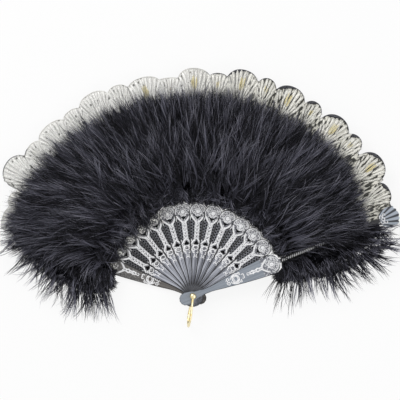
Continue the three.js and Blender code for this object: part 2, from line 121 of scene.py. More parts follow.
# a petal is left out if it lies outside its gap at this share of its length, or if it is shorter than this
PETAL_MIDDLE = 0.35
SHORTEST_PETAL = 4

# The rows of tufts: range of the roots' reach, how far strands turn aside, range of lengths, and bend
ROWS = {"inner": SimpleNamespace(reach=(117.5, 188), turn=19, length=(24, 48), bend=0.5),
        "outer": SimpleNamespace(reach=(174, 240), turn=12, length=(28, 52), bend=0.35)}
# up to this gap the down lies over the heads of the blades
LEFT_HEADS = 4
LOWEST_DOWN = 0.7
HIGHEST_DOWN = 58.0
CORE_DROP = 7.0

# The tufts past the guards, 1 past the left guard and -1 past the right one. edge is the outline of the dense
# down, as degrees off the guard and reach there; ways are directions along the down, in degrees
END_TUFTS = {
    1: SimpleNamespace(axis=LEFT_ANGLE, edge=([3.5, 7.6, 11.1, 14.4, 16.5], [240, 212, 184, 154, 128]),
                       nearest=-0.6, inner=107.0, core_inner=110.0, floor=4.5,
                       ways=[284, 270, 252, 236, 216, 190], collar=(LEFT_ANGLE + 1, LEFT_ANGLE + 15, 104.0)),
    -1: SimpleNamespace(axis=RIGHT_ANGLE, edge=([4.4, 7.2, 9.4, 10.8, 12.0], [253, 248, 229, 200, 165]),
                        nearest=0.2, inner=112.0, core_inner=116.0, floor=12.0,
                        ways=[-106, -94, -74, -52, -28, 0], collar=(RIGHT_ANGLE - 11, RIGHT_ANGLE, 110.0)),
}
# Their two kinds of strands: share of all, strands in a clump, how they crowd outward, and how they stray
DENSE = SimpleNamespace(share=0.88, clump=8, power=0.75, turn=14, aside=0.3, out=2.6, astray=6, bend=0.25,
                        thick=1.0)
WISP = SimpleNamespace(share=0.12, clump=4, power=0.4, turn=11, aside=0.16, out=1.2, astray=2, bend=0.1,
                       thick=1.25)
END_CORE_ANGLE = 21.0
END_LOFT = 29

BAIL_ANGLE = 264.0
BAIL_BEND = 28.0
BAIL_WIRE = 1.45
BAIL_OFFSET = 2.9
BAIL_STEPS = 14


# ---- settings a user would change


class FanSizes(bpy.types.PropertyGroup):
    foil_height: bpy.props.FloatProperty(
        name="Foil height", description="How far the stamped silver relief stands off a blade",
        default=0.00022, unit="LENGTH")
    strand_radius: bpy.props.FloatProperty(
        name="Strand radius", description="Radius of a feather strand at its root",
        default=0.00038, unit="LENGTH")
    strand_count: bpy.props.IntProperty(
        name="Strands in a tuft", description="Strands in each tuft between two ribs", default=2000)
    end_strand_count: bpy.props.IntProperty(
        name="Strands in an end tuft", description="Strands in each tuft past a guard", default=4600)
    leaf_thickness: bpy.props.FloatProperty(
        name="Leaf thickness", description="Thickness of the lace", default=0.0003, unit="LENGTH")


def colour_property(name, hex_value):
    return bpy.props.StringProperty(name=name, description=name + ", as an sRGB hex value", default=hex_value)


class FanColours(bpy.types.PropertyGroup):
    plastic: colour_property("Stick plastic", "#484a54")
    # painted highlight: the light streaks of the sticks' gloss
    plastic_highlight: colour_property("Stick plastic, light streaks", "#b4b7c1")
    guard: colour_property("Guard plastic", "#8d949e")
    # bare plastic, and painted shade in the joints and on the side walls
    ink_and_shade: colour_property("Bare plastic in edges and piercings", "#101013")
    silver: colour_property("Silver foil", "#f6f6f8")
    brass: colour_property("Brass", "#f7f0d2")
    net: colour_property("Black net of the leaf", "#131316")
    stitch: colour_property("Silver stitches", "#efede4")
    gold: colour_property("Gold stitches", "#e6dcb0")
    feather: colour_property("Feather", "#0e0e12")
    feather_highlight: colour_property("Feather highlights", "#6c6c7a")


def sizes():
    return bpy.context.scene.feather_fan_sizes


def colours():
    return bpy.context.scene.feather_fan_colours


# ---- shared helpers: materials


def linear(hex_value):
    """An sRGB hex value as a linear colour with alpha."""
    parts = [int(hex_value[i:i + 2], 16) / 255 for i in (1, 3, 5)]
    return [c / 12.92 if c <= 0.04045 else ((c + 0.055) / 1.055) ** 2.4 for c in parts] + [1.0]


def wire(tree, made, inputs):
    """Sets a node's inputs, each to a number, a colour, an sRGB hex value or an output socket."""
    for key, value in inputs.items():
        if isinstance(value, bpy.types.NodeSocket):
            tree.links.new(value, made.inputs[key])
        else:
            made.inputs[key].default_value = linear(value) if isinstance(value, str) else value
    return made


def node(tree, kind, inputs=None, **settings):
    """Adds a shader node with its settings and inputs."""
    made = tree.nodes.new("ShaderNode" + kind)
    for key, value in settings.items():
        setattr(made, key, value)
    return wire(tree, made, inputs or {})


def new_material(name):
    material = bpy.data.materials.new(name)
    material.use_nodes = True
    tree = material.node_tree
    tree.nodes.clear()
    shader = node(tree, "BsdfPrincipled")
    node(tree, "OutputMaterial", {0: shader.outputs[0]})
    return material, tree, shader


def maths(tree, operation, *values):
    return node(tree, "Math", dict(enumerate(values)), operation=operation).outputs[0]


def product(tree, first, *others):
    for other in others:
        first = maths(tree, "MULTIPLY", first, other)
    return first


def inverse(tree, value):
    return maths(tree, "SUBTRACT", 1.0, value)


def mixed(tree, factor, a, b):
    return node(tree, "Mix", {0: factor, 6: a, 7: b}, data_type="RGBA").outputs[2]


def ranged(tree, value, low, high, start=0.0, end=1.0):
    """A value mapped from low and high to start and end, and held between them."""
    return node(tree, "MapRange", {0: value, 1: low, 2: high, 3: start, 4: end}).outputs[0]


def above(tree, value, edge, soft):
    """0 below edge, 1 above it, over a soft width."""
    return ranged(tree, value, edge - soft / 2, edge + soft / 2)


def between(tree, value, low, high, soft):
    """1 between two edges and 0 outside them."""
    return product(tree, above(tree, value, low, soft), inverse(tree, above(tree, value, high, soft)))


def spread(tree, along, across, centre):
    """Distance from a point on a blade's middle line."""
    squares = [maths(tree, "MULTIPLY", v, v) for v in (maths(tree, "SUBTRACT", along, centre), across)]
    return maths(tree, "SQRT", maths(tree, "ADD", *squares))


def coordinates(tree, kind="Object"):
    return node(tree, "TexCoord").outputs[kind]


def component(tree, vector, axis):
    return node(tree, "SeparateXYZ", {0: vector}).outputs[axis]


def mapping(tree, vector, **inputs):
    return node(tree, "Mapping", {"Vector": vector, **inputs}).outputs[0]


def noise(tree, vector, scale, detail):
    return node(tree, "TexNoise", {"Vector": vector, "Scale": scale, "Detail": detail}).outputs[0]


def voronoi(tree, vector, scale, feature="F1", **inputs):
    return node(tree, "TexVoronoi", {"Vector": vector, "Scale": scale, **inputs}, feature=feature).outputs[0]


def grain(tree, scale, detail, low, high):
    """A noise with so many grains to the metre, as it is and spread out from 0 to 1."""
    raw = noise(tree, coordinates(tree), scale, detail)
    return raw, ranged(tree, raw, low, high)


def ramp(tree, value, stops):
    """A colour ramp over a value, from its stops' positions and colours."""
    made = node(tree, "ValToRGB", {0: value})
    elements = made.color_ramp.elements
    for i, (position, colour) in enumerate(stops):
        stop = elements[i] if i < 2 else elements.new(1.0)
        stop.position = position
        stop.color = colour
    return made.outputs[0]


def bump(tree, height, strength=0.3):
    """Relief 0.3 mm deep."""
    return node(tree, "Bump", {"Height": height, "Strength": strength, "Distance": 0.0003}).outputs[0]


# ---- shared helpers: sticks, meshes and pieces


def stick_angle(k):
    return RIGHT_ANGLE if k == GAPS else LEFT_ANGLE - k * PITCH_ANGLE


def stick_name(k):
    return "guard_back" if k == 0 else "guard_front" if k == GAPS else f"stick_{k:02d}"


CHAIN = [stick_name(k) + "_body" for k in range(GAPS + 1)]
RIB_TOPS = [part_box(stick_name(k))[1].z / MM for k in range(GAPS + 1)]


def polar(reach, angle):
    turn = np.radians(angle)
    return reach * np.cos(turn), reach * np.sin(turn)


def select_only(*objs):
    bpy.ops.object.select_all(action="DESELECT")
    for obj in objs:
        obj.select_set(True)
    bpy.context.view_layer.objects.active = objs[0]


def primitive(operator, **settings):
    """The object made by one of Blender's own mesh operators."""
    bpy.ops.object.select_all(action="DESELECT")
    operator(**settings)
    return bpy.context.view_layer.objects.active


def linked(name, data):
    obj = bpy.data.objects.new(name, data)
    bpy.context.scene.collection.objects.link(obj)
    return obj


def mesh_object(name, points, faces, smooth=True):
    """A new mesh object from points in millimetres and faces that all have as many corners."""
    points = np.asarray(points, np.float32) * MM
    faces = np.asarray(faces, np.int32)
    mesh = bpy.data.meshes.new(name)
    mesh.vertices.add(len(points))
    mesh.vertices.foreach_set("co", points.ravel())
    mesh.loops.add(faces.size)
    mesh.loops.foreach_set("vertex_index", faces.ravel())
    mesh.polygons.add(len(faces))
    mesh.polygons.foreach_set("loop_start", np.arange(0, faces.size, faces.shape[1], dtype=np.int32))
    mesh.polygons.foreach_set("use_smooth", np.full(len(faces), smooth))
    mesh.update(calc_edges=True)
    return linked(name, mesh)


def close_up(obj, loops=()):
    """Closes the open ends of a swept mesh, given as loops of points, and turns its faces outward."""
    bm = bmesh.new()
    bm.from_mesh(obj.data)
    bm.verts.ensure_lookup_table()
    for loop in loops:
        bm.faces.new([bm.verts[i] for i in loop])
    bmesh.ops.recalc_face_normals(bm, faces=bm.faces)
    bm.to_mesh(obj.data)
    bm.free()
    obj.data.update()


def rods(name, routes, radius, resolution):
    """Round rods as one mesh. A route is points in millimetres, shares of the radius, and closed or not."""
    curve = bpy.data.curves.new(name, "CURVE")
    curve.dimensions = "3D"
    curve.bevel_depth = radius * MM
    curve.bevel_resolution = resolution
    curve.use_fill_caps = True
    for points, shares, closed in routes:
        spline = curve.splines.new("POLY")
        spline.points.add(len(points) - 1)
        for target, (x, y, z), share in zip(spline.points, points, shares):
            target.co = (x * MM, y * MM, z * MM, 1)
            target.radius = share
        spline.use_cyclic_u = closed
    select_only(linked(name, curve))
    bpy.ops.object.convert(target="MESH")
    return bpy.context.view_layer.objects.active


def joined(name, objs):
    select_only(*objs)
    bpy.ops.object.join()
    obj = bpy.context.view_layer.objects.active
    obj.name = obj.data.name = name
    bpy.ops.object.transform_apply(location=True, rotation=True, scale=True)
    return obj


def turn_to(obj, angle):
    """Turns a piece that is drawn along +X to its angle, in its mesh."""
    obj.rotation_euler = (0, 0, math.radians(angle))
    select_only(obj)
    bpy.ops.object.transform_apply(location=True, rotation=True, scale=True)


def paint(obj, material):
    obj.data.materials.clear()
    obj.data.materials.append(material)


def give(obj, material):
    paint(obj, material)


# ---- blades: satin moulded plastic with stamped silver relief


def half_width(k, reach):
    """Half width of a blade at a reach."""
    wider = FRONT_HEAD_RADIUS / HEAD_RADIUS if k == GAPS else 1.0
    return float(np.interp(reach, BLADE_REACHES, BLADE_HALF_WIDTHS)) * wider


def half_width_ramp(tree, k, along):
    """The blade's half width over its reach, both in millimetres."""
    stops = [(reach / HEAD_REACH, [half_width(k, reach) / WIDEST] * 3 + [1.0]) for reach in BLADE_REACHES]
    return maths(tree, "MULTIPLY", ramp(tree, maths(tree, "DIVIDE", along, HEAD_REACH), stops), WIDEST)


def blade_material(k):
    """Moulded satin polystyrene: grey, with light streaks painted as highlights of its gloss, painted shade
    in the joints, and silver foil stamped on the part that shows.
    """
    c = colours()
    front, guard = k == GAPS, k in (0, GAPS)
    material, tree, shader = new_material(f"satin polystyrene {'guard' if guard else 'blade'} {k:02d}")
    turned = mapping(tree, coordinates(tree), Rotation=(0, 0, -math.radians(stick_angle(k))))
    local = mapping(tree, turned, Scale=(1000, 1000, 1000))
    along, across = component(tree, local, 0), component(tree, local, 1)
    aside = maths(tree, "ABSOLUTE", across)
    edge = maths(tree, "SUBTRACT", half_width_ramp(tree, k, along), aside)
    # light streaks 1.3 mm apart across the blade and 70 mm long, painted highlights of the satin gloss
    streaks = noise(tree, mapping(tree, local, Scale=(0.014, 0.75, 0.1)), 1.0, 2.0)
    plastic = {0: ("#3d3a38", "#66625f"), GAPS: ("#7e858f", c.guard)}.get(k, (c.plastic, c.plastic_highlight))
    base = mixed(tree, ranged(tree, streaks, 0.42, 0.58), *plastic)
    # stamped flowers and scrolls, their petals 2.5 mm apart, worn in places and duller towards the left
    flower = ranged(tree, voronoi(tree, local, 0.4, Randomness=0.85), 0.3, 0.55, 1.0, 0.0)
    wear = ranged(tree, noise(tree, local, 0.9, 3.0), 0.35, 0.6, 0.45, 1.0)
    bright = float(np.interp(k, [0, 3, 7, 10], [0.3, 0.5, 0.8, 1.0]))
    foil, ground = mixed(tree, bright, "#77776f", "#f2f2f5"), mixed(tree, bright, "#141311", "#63646c")
    stamped = mixed(tree, product(tree, flower, wear), ground, foil)
    start, soft, share = (93.0, 3.0, 0.8) if front else (60.0, 3.0, 0.35) if guard else (56.5, 4.0, 1.0)
    printed = product(tree, above(tree, along, start, soft), share)
    base = mixed(tree, printed, base, stamped)
    if not guard:
        # bars of the pierced window, and the frame round it
        window, inner = between(tree, along, 69.5, 98.0, 1.0), above(tree, edge, 1.3, 0.4)
        bars = product(tree, above(tree, aside, 3.2, 0.4), window, inner)
        base = mixed(tree, bars, base, mixed(tree, bright, "#2b2b2d", "#6c6d74"))
        base = mixed(tree, product(tree, window, inverse(tree, inner), 0.8), base, "#3a3b3f")
    # bare black plastic along the rims, round the head and round the tail, with the painted shade of the
    # joints between the blades in it
    lower = inverse(tree, above(tree, along, 60.0, 20.0))
    wide = 0.6 if guard else maths(tree, "SUBTRACT", 1.6, product(tree, lower, 0.4))
    rim = product(tree, maths(tree, "LESS_THAN", edge, wide), between(tree, along, 13.0, 97.0, 4.0))
    radius = FRONT_HEAD_RADIUS if front else HEAD_RADIUS
    head_rim = product(tree, above(tree, spread(tree, along, across, HEAD_CENTRE), radius - 0.7, 0.4),
                       between(tree, along, 99.0, 118.0, 2.0))
    base = mixed(tree, maths(tree, "MAXIMUM", rim, head_rim), base, c.ink_and_shade)
    centre, radius, end = (-9.6, 7.3, -9.0) if guard else (-7.8, 5.5, -7.0)
    tail = above(tree, spread(tree, along, across, centre), radius, 0.5)
    base = mixed(tree, product(tree, tail, maths(tree, "LESS_THAN", along, end), 0.85), base, c.ink_and_shade)
    if front:
        # flutes of the shell, 14 degrees apart round its root, painted as pale and dark stripes: the light
        # and shade of their ridges
        turn = maths(tree, "ARCTAN2", across, maths(tree, "SUBTRACT", along, 244.0))
        flute = maths(tree, "SINE", product(tree, turn, 26.0))
        shell = mixed(tree, above(tree, flute, -0.2, 0.9), "#2a2d33", "#a3abb6")
        base = mixed(tree, above(tree, along, 252.0, 1.0), base, shell)
    if guard:
        # painted shade: the rib under the feathers is painted dark, as the down shades it
        base = mixed(tree, between(tree, along, 117.5, 251.0, 1.0), base, "#1b1b1f")
    else:
        # the gap between the blades lies in the dark round the rivet
        root = product(tree, inverse(tree, above(tree, along, 16.0, 10.0)), above(tree, along, 1.0, 4.0), 0.8)
        base = mixed(tree, root, base, "#1d1d21")
    # painted shade: the side walls are near-black, so that the joints between the blades show dark
    face = component(tree, coordinates(tree, "Normal"), 2)
    base = mixed(tree, above(tree, face, 0.4, 0.3), c.ink_and_shade, base)
    height = maths(tree, "ADD", streaks, product(tree, printed, flower))
    wire(tree, shader, {"Base Color": base, "Normal": bump(tree, height), "Roughness": 0.4})
    return material


def foil_material():
    """Hot-stamped aluminium foil: bright, slightly crinkled by handling, with crinkles 1.5 mm apart."""
    material, tree, shader = new_material("hot-stamped aluminium foil")
    crinkle, tone = grain(tree, 670.0, 3.0, 0.3, 0.55)
    base = mixed(tree, tone, "#cfd0d3", colours().silver)
    # on the heads at the left the foil is painted in dark and bright flecks 2 mm apart
    place = coordinates(tree)
    away = node(tree, "VectorMath", {0: place}, operation="LENGTH").outputs["Value"]
    left = inverse(tree, above(tree, component(tree, place, 0), -0.034, 0.02))
    heads = product(tree, above(tree, away, 0.1, 0.006), left, 0.92)
    fleck_colours = mixed(tree, above(tree, noise(tree, place, 480.0, 1.0), 0.53, 0.06), "#1f1f20", "#f0efe9")
    wire(tree, shader, {"Base Color": mixed(tree, heads, base, fleck_colours), "Normal": bump(tree, crinkle),
                        "Metallic": 0.1, "Roughness": 0.4})
    return material


def shade_film_material():
    """Black sheet for painted shade, seen through the piercings: even, with a faint sheen, and mottled in
    spots 4 mm apart.
    """
    material, tree, shader = new_material("black sheet standing in for shade")
    _, tone = grain(tree, 250.0, 2.0, 0.4, 0.7)
    wire(tree, shader, {"Base Color": mixed(tree, tone, "#060607", "#151517"), "Roughness": 0.6,
                        "Specular IOR Level": 0.05})
    return material


def arc(centre, across, radius, start, end, steps=8, squeeze=1.0):
    """Points on an arc, with the angles in degrees and 0 along the blade."""
    turns = np.radians(np.linspace(start, end, steps + 1))
    return [(centre + radius * math.cos(t), across + radius * squeeze * math.sin(t)) for t in turns]


def rose_strokes():
    """The flower on a blade's head: a ring, and eight petals round it with a ray in each upper one."""
    strokes = [(arc(ROSE_REACH, 0, 3.9, 0, 360, 14), 0.8)]
    for i in range(8):
        bearing = 22.5 + 45 * i
        turn = math.radians(bearing)
        lower = math.cos(turn) < -0.3
        away, size = (4.4, 1.2) if lower else (6.6, 2.2)
        strokes.append((arc(ROSE_REACH + away * math.cos(turn), away * math.sin(turn), size,
                            bearing - 125, bearing + 125), 1.0))
        if not lower:
            strokes.append(([(ROSE_REACH + r * math.cos(turn), r * math.sin(turn)) for r in (4.6, 7.8)], 1.2))
    return strokes


def foil_strokes(guard):
    """Strokes of the stamped relief as points and width, along and across one blade."""
    strokes = rose_strokes()
    # strokes on both sides of the middle line: the collar of the head and the stem's shoulders
    both = [(arc(HEAD_CENTRE, 0, 9.5, 6, 104, 12), 1.2),
            ([(91.0, 0.4), (93.4, 2.5), (96.0, 4.8), (99.0, 7.2), (101.4, 8.8)], 2.4)]
    if guard:
        both.append(([(90.6, 0.8), (87.0, 2.2), (83.0, 0.8), (80.0, 2.0), (77.0, 0.6)], 1.7))
    else:
        both += [
            ([(99.0, 8.9), (96.5, 9.2), (94.0, 9.1)], 0.9),
            ([(92.0, 2.6), (88.0, 2.5), (80.0, 2.4), (72.6, 2.4), (70.4, 3.2)], 0.9),
            ([(72.4, 0.3), (69.8, 2.7), (67.2, 4.6), (65.0, 6.2)], 2.1),
            ([(70.6, 6.4), (68.8, 5.4)], 1.4),
            (arc(63.4, 3.9, 1.3, -120, 160), 1.1),
            (arc(57.6, 4.2, 1.0, -60, 230), 1.0),
        ]
    # rings up the stem
    for i in range(5):
        centre = 74.0 + 4.3 * i
        strokes.append((arc(centre, 0, 1.5, 20, 320), 1.1))
        both.append((arc(centre + 2.1, 1.5, 0.9, -160, 60, 6), 0.9))
    # oval scroll, curls and dots towards the rivet
    shift = -3.0 if guard else 0.0
    strokes += [(arc(60.6 + shift, 0, 2.6, 0, 360, 12, 1.25), 1.1), (arc(51.2 + shift, 0, 1.5, 30, 330), 1.0)]
    both += [(arc(58.8 + shift, 0, 5.0, 20, 150, 10, 0.95), 1.2),
             (arc(55.0 + shift, 2.2, 1.3, -40, 250), 1.1), (arc(48.6 + shift, 1.3, 0.9, -60, 200, 6), 0.8)]
    if guard:
        strokes.append((arc(60.6 + shift, 0, 4.4, 0, 360, 16, 1.1), 1.7))
        both += [
            (arc(61.0 + shift, 0, 7.0, 25, 150, 10, 0.9), 1.3),
            (arc(70.0 + shift, 1.2, 1.6, -90, 160), 1.3),
            (arc(66.0 + shift, 5.0, 1.3, -60, 200, 6), 1.1),
            (arc(47.5, 2.6, 1.6, -60, 220), 1.1),
        ]
    for points, width in both:
        strokes += [(points, width), ([(x, -y) for x, y in points], width)]
    return strokes


def shell_strokes():
    """Rope along the front guard's rib, and the curls at the root of its shell."""
    strokes = []
    for i in range(22):
        reach = 119.5 + 2.6 * i
        strokes.append(([(reach, -1.5), (reach + 1.2, 0), (reach + 2.2, 1.5)], 1.3))
    for side in (1, -1):
        for points, width in ((arc(253.5, 3.2, 2.0, -60, 220), 1.3), (arc(258.0, 4.6, 1.6, -60, 220), 1.1)):
            strokes.append(([(x, side * y) for x, y in points], width))
    strokes.append((arc(255.5, 0, 2.0, 0, 360, 10), 1.2))
    return strokes


def add_beads(name, strokes, height, level):
    """Strokes as low rounded beads, their middle on a level, both in metres."""
    routes = []
    for points, width in strokes:
        closed = math.dist(points[0], points[-1]) < 1e-6
        kept = [(x, y, 0) for x, y in (points[:-1] if closed else points)]
        widths = [width] * len(kept)
        if not closed:
            widths[0] = widths[-1] = width * 0.55
        routes.append((kept, widths, closed))
    obj = rods(name, routes, BEAD_RADIUS, 1)
    for v in obj.data.vertices:
        v.co.z = level + v.co.z * height / (BEAD_RADIUS * MM)
    return obj


def add_foil(k, name):
    """The silver relief of one blade, drawn along +X and turned to the blade's angle."""
    level, height = RIB_TOPS[k] * MM, sizes().foil_height
    strokes = foil_strokes(k in (0, GAPS)) + (shell_strokes() if k == GAPS else [])
    beads = add_beads(name, strokes, height * 0.45, level)
    # a dome in the middle of the flower
    radius = 2.7 * MM
    dome = primitive(bpy.ops.mesh.primitive_uv_sphere_add, segments=14, ring_count=8, radius=radius,
                     location=(ROSE_REACH * MM, 0, level))
    bpy.ops.transform.resize(value=(1, 1, height / radius))
    obj = joined(name, [beads, dome])
    turn_to(obj, stick_angle(k))
    bpy.ops.object.shade_smooth()
    return obj


def add_shade_film(k, name):
    """Black sheet behind the pierced part of one blade, standing in for the shade seen through the piercings:
    thin and closed, just under the blade.
    """
    stations = [61.0, 66.0, 72.0, 80.0, 88.0, 94.0, 99.0, 103.5]
    top = RIB_TOPS[k] - BLADE_THICKNESS - 0.015
    points = []
    for reach in stations:
        half = half_width(k, reach) - 0.8
        points += [(reach, across, level) for across in (half, -half) for level in (top, top - 0.05)]
    last = 4 * (len(stations) - 1)
    faces = [(0, 2, 3, 1), (last, last + 1, last + 3, last + 2)]
    for a in range(0, last, 4):
        b = a + 4
        faces += [(a, b, b + 2, a + 2), (a + 1, a + 3, b + 3, b + 1),
                  (a, a + 1, b + 1, b), (a + 2, b + 2, b + 3, a + 3)]
    obj = mesh_object(name, points, faces, smooth=False)
    close_up(obj)
    turn_to(obj, stick_angle(k))
    return obj


# ---- leaf: black net with silver and gold stitches, in one mountain fold a gap


def rib_level(angle):
    """Level of the leaf's underside over the ribs at an angle, before its folds."""
    k = np.clip((LEFT_ANGLE - np.asarray(angle, float)) / PITCH_ANGLE, 0, GAPS)
    return RIB_TOPS[0] + RIB_SPARE + STICK_STEP * k


def scallop_half(i):
    """Half width of a scallop, in degrees."""
    return SMALL_SCALLOP if i % 2 == 0 else LARGE_SCALLOP


def scallop_reach(angle):
    """Reach of the leaf's edge at an angle."""
    valley = LEFT_VALLEY if angle > LEFT_VALLEY_FROM else LEAF_VALLEY
    reach = valley
    for i, (centre, tip) in enumerate(SCALLOPS):
        off = abs(angle - centre) / scallop_half(i)
        if off < 1:
            reach = max(reach, valley + (tip - valley) * (1 - off ** 2.2) ** 0.55)
    return reach


def fold_height(gap, share, reach):
    """Level of the leaf's underside in a gap, from share 0 at the left rib to 1 at the right rib."""
    last = gap == GAPS
    peak, landing = (1 / 3, 2 / 3) if last else (0.5, 1.0)
    low = RIB_TOPS[gap - 1] + RIB_SPARE
    # the last fold lands behind the front guard, 0.8 mm under it
    high = RIB_TOPS[GAPS] - GUARD_THICKNESS - 0.8 if last else RIB_TOPS[gap] + RIB_SPARE
    level = low + (high - low) * min(max(share / landing, 0), 1)
    ridge = 0.0
    if 0 < share < landing:
        ridge = share / peak if share < peak else (landing - share) / (landing - peak)
    return level + FOLD_RISE * reach / LEAF_REACH * ridge


def gap_sides(gap, reach):
    """Angles of a gap's left and right side at a reach, 0.15 mm short of its ribs' middle lines."""
    inset = math.degrees(0.15 / reach)
    return stick_angle(gap - 1) - inset, stick_angle(gap) + inset


def gap_angle(gap, share, reach):
    left, right = gap_sides(gap, reach)
    return left + (right - left) * share


def leaf_point(gap, angle, reach, lift):
    """A point over the leaf's upper side at an angle and a reach."""
    left, right = gap_sides(gap, reach)
    share = (left - angle) / (left - right)
    return (*polar(reach, angle), fold_height(gap, share, reach) + LEAF_TOP + lift)


def net_material():
    """Knitted polyester net: a fine black mesh, with painted light on the left, where the light washes it out
    pale.
    """
    material, tree, shader = new_material("knitted polyester net")
    place = coordinates(tree, "UV")
    # mesh openings 1.6 mm apart
    thread = ranged(tree, voronoi(tree, place, 0.62, "DISTANCE_TO_EDGE"), 0.06, 0.2, 1.0, 0.0)
    pale = ranged(tree, noise(tree, place, 0.12, 2.0), 0.35, 0.65)
    base = mixed(tree, thread, colours().net, mixed(tree, pale, "#2e2f2a", "#5c5b50"))
    # silver threads darned into the net, 2.5 mm apart and 9 mm long
    laid = mapping(tree, place, Scale=(0.4, 0.11, 1))
    darned = product(tree, above(tree, noise(tree, laid, 1.0, 2.0), 0.52, 0.07), 0.9)
    base = mixed(tree, darned, base, "#efede2")
    # dark eyelets 6 mm apart, which still show where the net is pale
    eyelet = ranged(tree, voronoi(tree, place, 0.17), 0.2, 0.32, 0.85, 0.0)
    # painted light: on the left the net is washed out pale
    washed_out = mixed(tree, eyelet, mixed(tree, thread, "#e6e6e2", "#fdfcf9"), "#3a3a36")
    left = above(tree, component(tree, place, 0), math.radians(82) * LEAF_VALLEY, 110.0)
    base = mixed(tree, product(tree, left, 0.94), base, washed_out)
    wire(tree, shader, {"Base Color": base, "Normal": bump(tree, thread, 0.4), "Roughness": 0.7})
    return material


def stitch_material(name, light, dark):
    """Metallised polyester thread, machine embroidered: pale and shiny along the lie of the thread."""
    material, tree, shader = new_material(name)
    # thread lies 0.9 mm apart, drawn coarser than real so that it shows
    twist, tone = grain(tree, 1100.0, 2.0, 0.35, 0.6)
    base = mixed(tree, tone, dark, light)
    if name.startswith("silver"):
        # painted light: the left of the leaf is washed out pale by the light
        right = above(tree, component(tree, coordinates(tree), 0), 0.02, 0.1)
        base = mixed(tree, right, mixed(tree, tone, "#c6c6c1", "#fefdfa"), base)
    wire(tree, shader, {"Base Color": base, "Normal": bump(tree, twist), "Metallic": 0.25, "Roughness": 0.45})
    return material


def flat_size(gap):
    """Width, length and area of one gap's lace before folding, in metres."""
    turn = math.radians(stick_angle(gap - 1) - stick_angle(gap))
    flank = turn / (3 if gap == GAPS else 2)
    unfolded = 2 * math.hypot(flank, FOLD_RISE / LEAF_REACH) + turn - 2 * flank
    if gap == 1:
        unfolded += turn * OVERRUN_COLUMNS / LEAF_COLUMNS
    edges = [scallop_reach(gap_angle(gap, i / LEAF_COLUMNS, LEAF_VALLEY)) for i in range(LEAF_COLUMNS + 1)]
    mean_square = sum(edge ** 2 for edge in edges) / len(edges)
    area = unfolded * (mean_square - LEAF_START ** 2) / 2
    return LEAF_REACH * unfolded * MM, (LEAF_REACH - LEAF_START) * MM, area * MM ** 2


def add_leaf(gap):
    """One gap's lace: a grid with the fold's height and the scalloped edge, given its thickness."""
    first = -OVERRUN_COLUMNS if gap == 1 else 0
    shares = [i / LEAF_COLUMNS for i in range(first, LEAF_COLUMNS + 1)]
    points, uvs = [], []
    for share in shares:
        edge = scallop_reach(gap_angle(gap, share, LEAF_VALLEY))
        for j in range(LEAF_ROWS + 1):
            reach = LEAF_START + (edge - LEAF_START) * (j / LEAF_ROWS)
            angle = gap_angle(gap, share, reach)
            points.append((*polar(reach, angle), fold_height(gap, share, reach) + LEAF_TOP))
            uvs.append((math.radians(angle) * LEAF_VALLEY, reach))
    wide = LEAF_ROWS + 1
    starts = [i * wide + j for i in range(len(shares) - 1) for j in range(LEAF_ROWS)]
    faces = [(a + wide, a + wide + 1, a + 1, a) for a in starts]
    obj = mesh_object(f"lace_leaf_{gap:02d}", points, faces)
    corners = np.array([uvs[i] for face in faces for i in face], np.float32)
    obj.data.uv_layers.new(name="UVMap").data.foreach_set("uv", corners.ravel())
    select_only(obj)
    thick = obj.modifiers.new("thickness", "SOLIDIFY")
    thick.thickness = sizes().leaf_thickness
    thick.offset = -1
    bpy.ops.object.modifier_apply(modifier=thick.name)
    return obj


def petal(gap, centre, base, turn, near, far, width, lift):
    """One petal that runs out from a scallop's base, laid on the fold: rings of points, or None."""
    low, high = stick_angle(gap), stick_angle(gap - 1) + (OVERRUN_ANGLE if gap == 1 else 0)
    # petals stop at the binding
    rim = 4.4 if turn > 2 and centre < WIDE_RIM_TO else 0.4
    bent = math.radians(turn)
    rings = []
    for share, wide in PETAL_SHAPE:
        out = near + (far - near) * share
        reach = base + out * math.cos(bent)
        angle = centre + math.degrees(out * math.sin(bent) / reach)
        if share == PETAL_MIDDLE and not low <= angle < high:
            return None
        half = width * wide / 2
        spare = math.degrees(half / reach)
        angle = min(max(angle, low + spare), high - spare)
        reach = min(reach, scallop_reach(angle) - rim)
        side = math.degrees(half / reach)
        rings.append([leaf_point(gap, angle + side * across, reach, lift + rise * min(1, wide + 0.3))
                      for across, rise in PETAL_SECTION])
    if math.dist(rings[0][0], rings[-1][0]) < SHORTEST_PETAL:
        return None
    return rings


def petal_faces():
    count = len(PETAL_SECTION)
    last = count * (len(PETAL_SHAPE) - 1)
    faces = []
    for start in range(0, last, count):
        for i in range(count):
            a, b = start + i, start + (i + 1) % count
            faces += [(a, b, b + count), (a, b + count, a + count)]
    for i in range(1, count - 1):
        faces += [(0, i + 1, i), (last, last + i, last + i + 1)]
    return faces


def stitches_of(gap, golden, rng):
    """Petals of one gap, in tiers that fan out from each scallop's base, or the gold ones over them."""
    points, faces = [], []
    pattern = petal_faces()
    for i, (centre, tip) in enumerate(SCALLOPS):
        if golden and (centre > GOLD_TO or i == 0):
            continue
        large = i % 2 == 1
        base = tip - (54 if large else 42)
        tiers = (GOLD_TIERS if golden else SILVER_TIERS)[large]
        for tier, (near, far, count, turns, width) in enumerate(tiers):
            lift = 0.9 if golden else 0.35 + 0.1 * tier
            for n in range(count):
                turn = turns * (2 * (n + 0.5) / count - 1) + rng.uniform(-1.2, 1.2)
                shift = rng.uniform(-1.5, 1.5)
                rings = petal(gap, centre, base, turn, near + shift, far + shift,
                              width * rng.uniform(0.85, 1.1), lift)
                if rings:
                    start = len(points)
                    points += [point for ring in rings for point in ring]
                    faces += [(a + start, b + start, c + start) for a, b, c in pattern]
    return points, faces


def rim_width(angle):
    """Width of the binding at an angle: wide on the left side of each right-hand scallop and of one more."""
    width = 0.4
    for n, (centre, _) in enumerate(SCALLOPS):
        off = (angle - centre) / scallop_half(n)
        if abs(off) < 1 and (centre < WIDE_RIM_TO or n == 7):
            width = max(width, 4.8 * max(0.0, 1 - abs(off - 0.45) * 1.5))
    return width


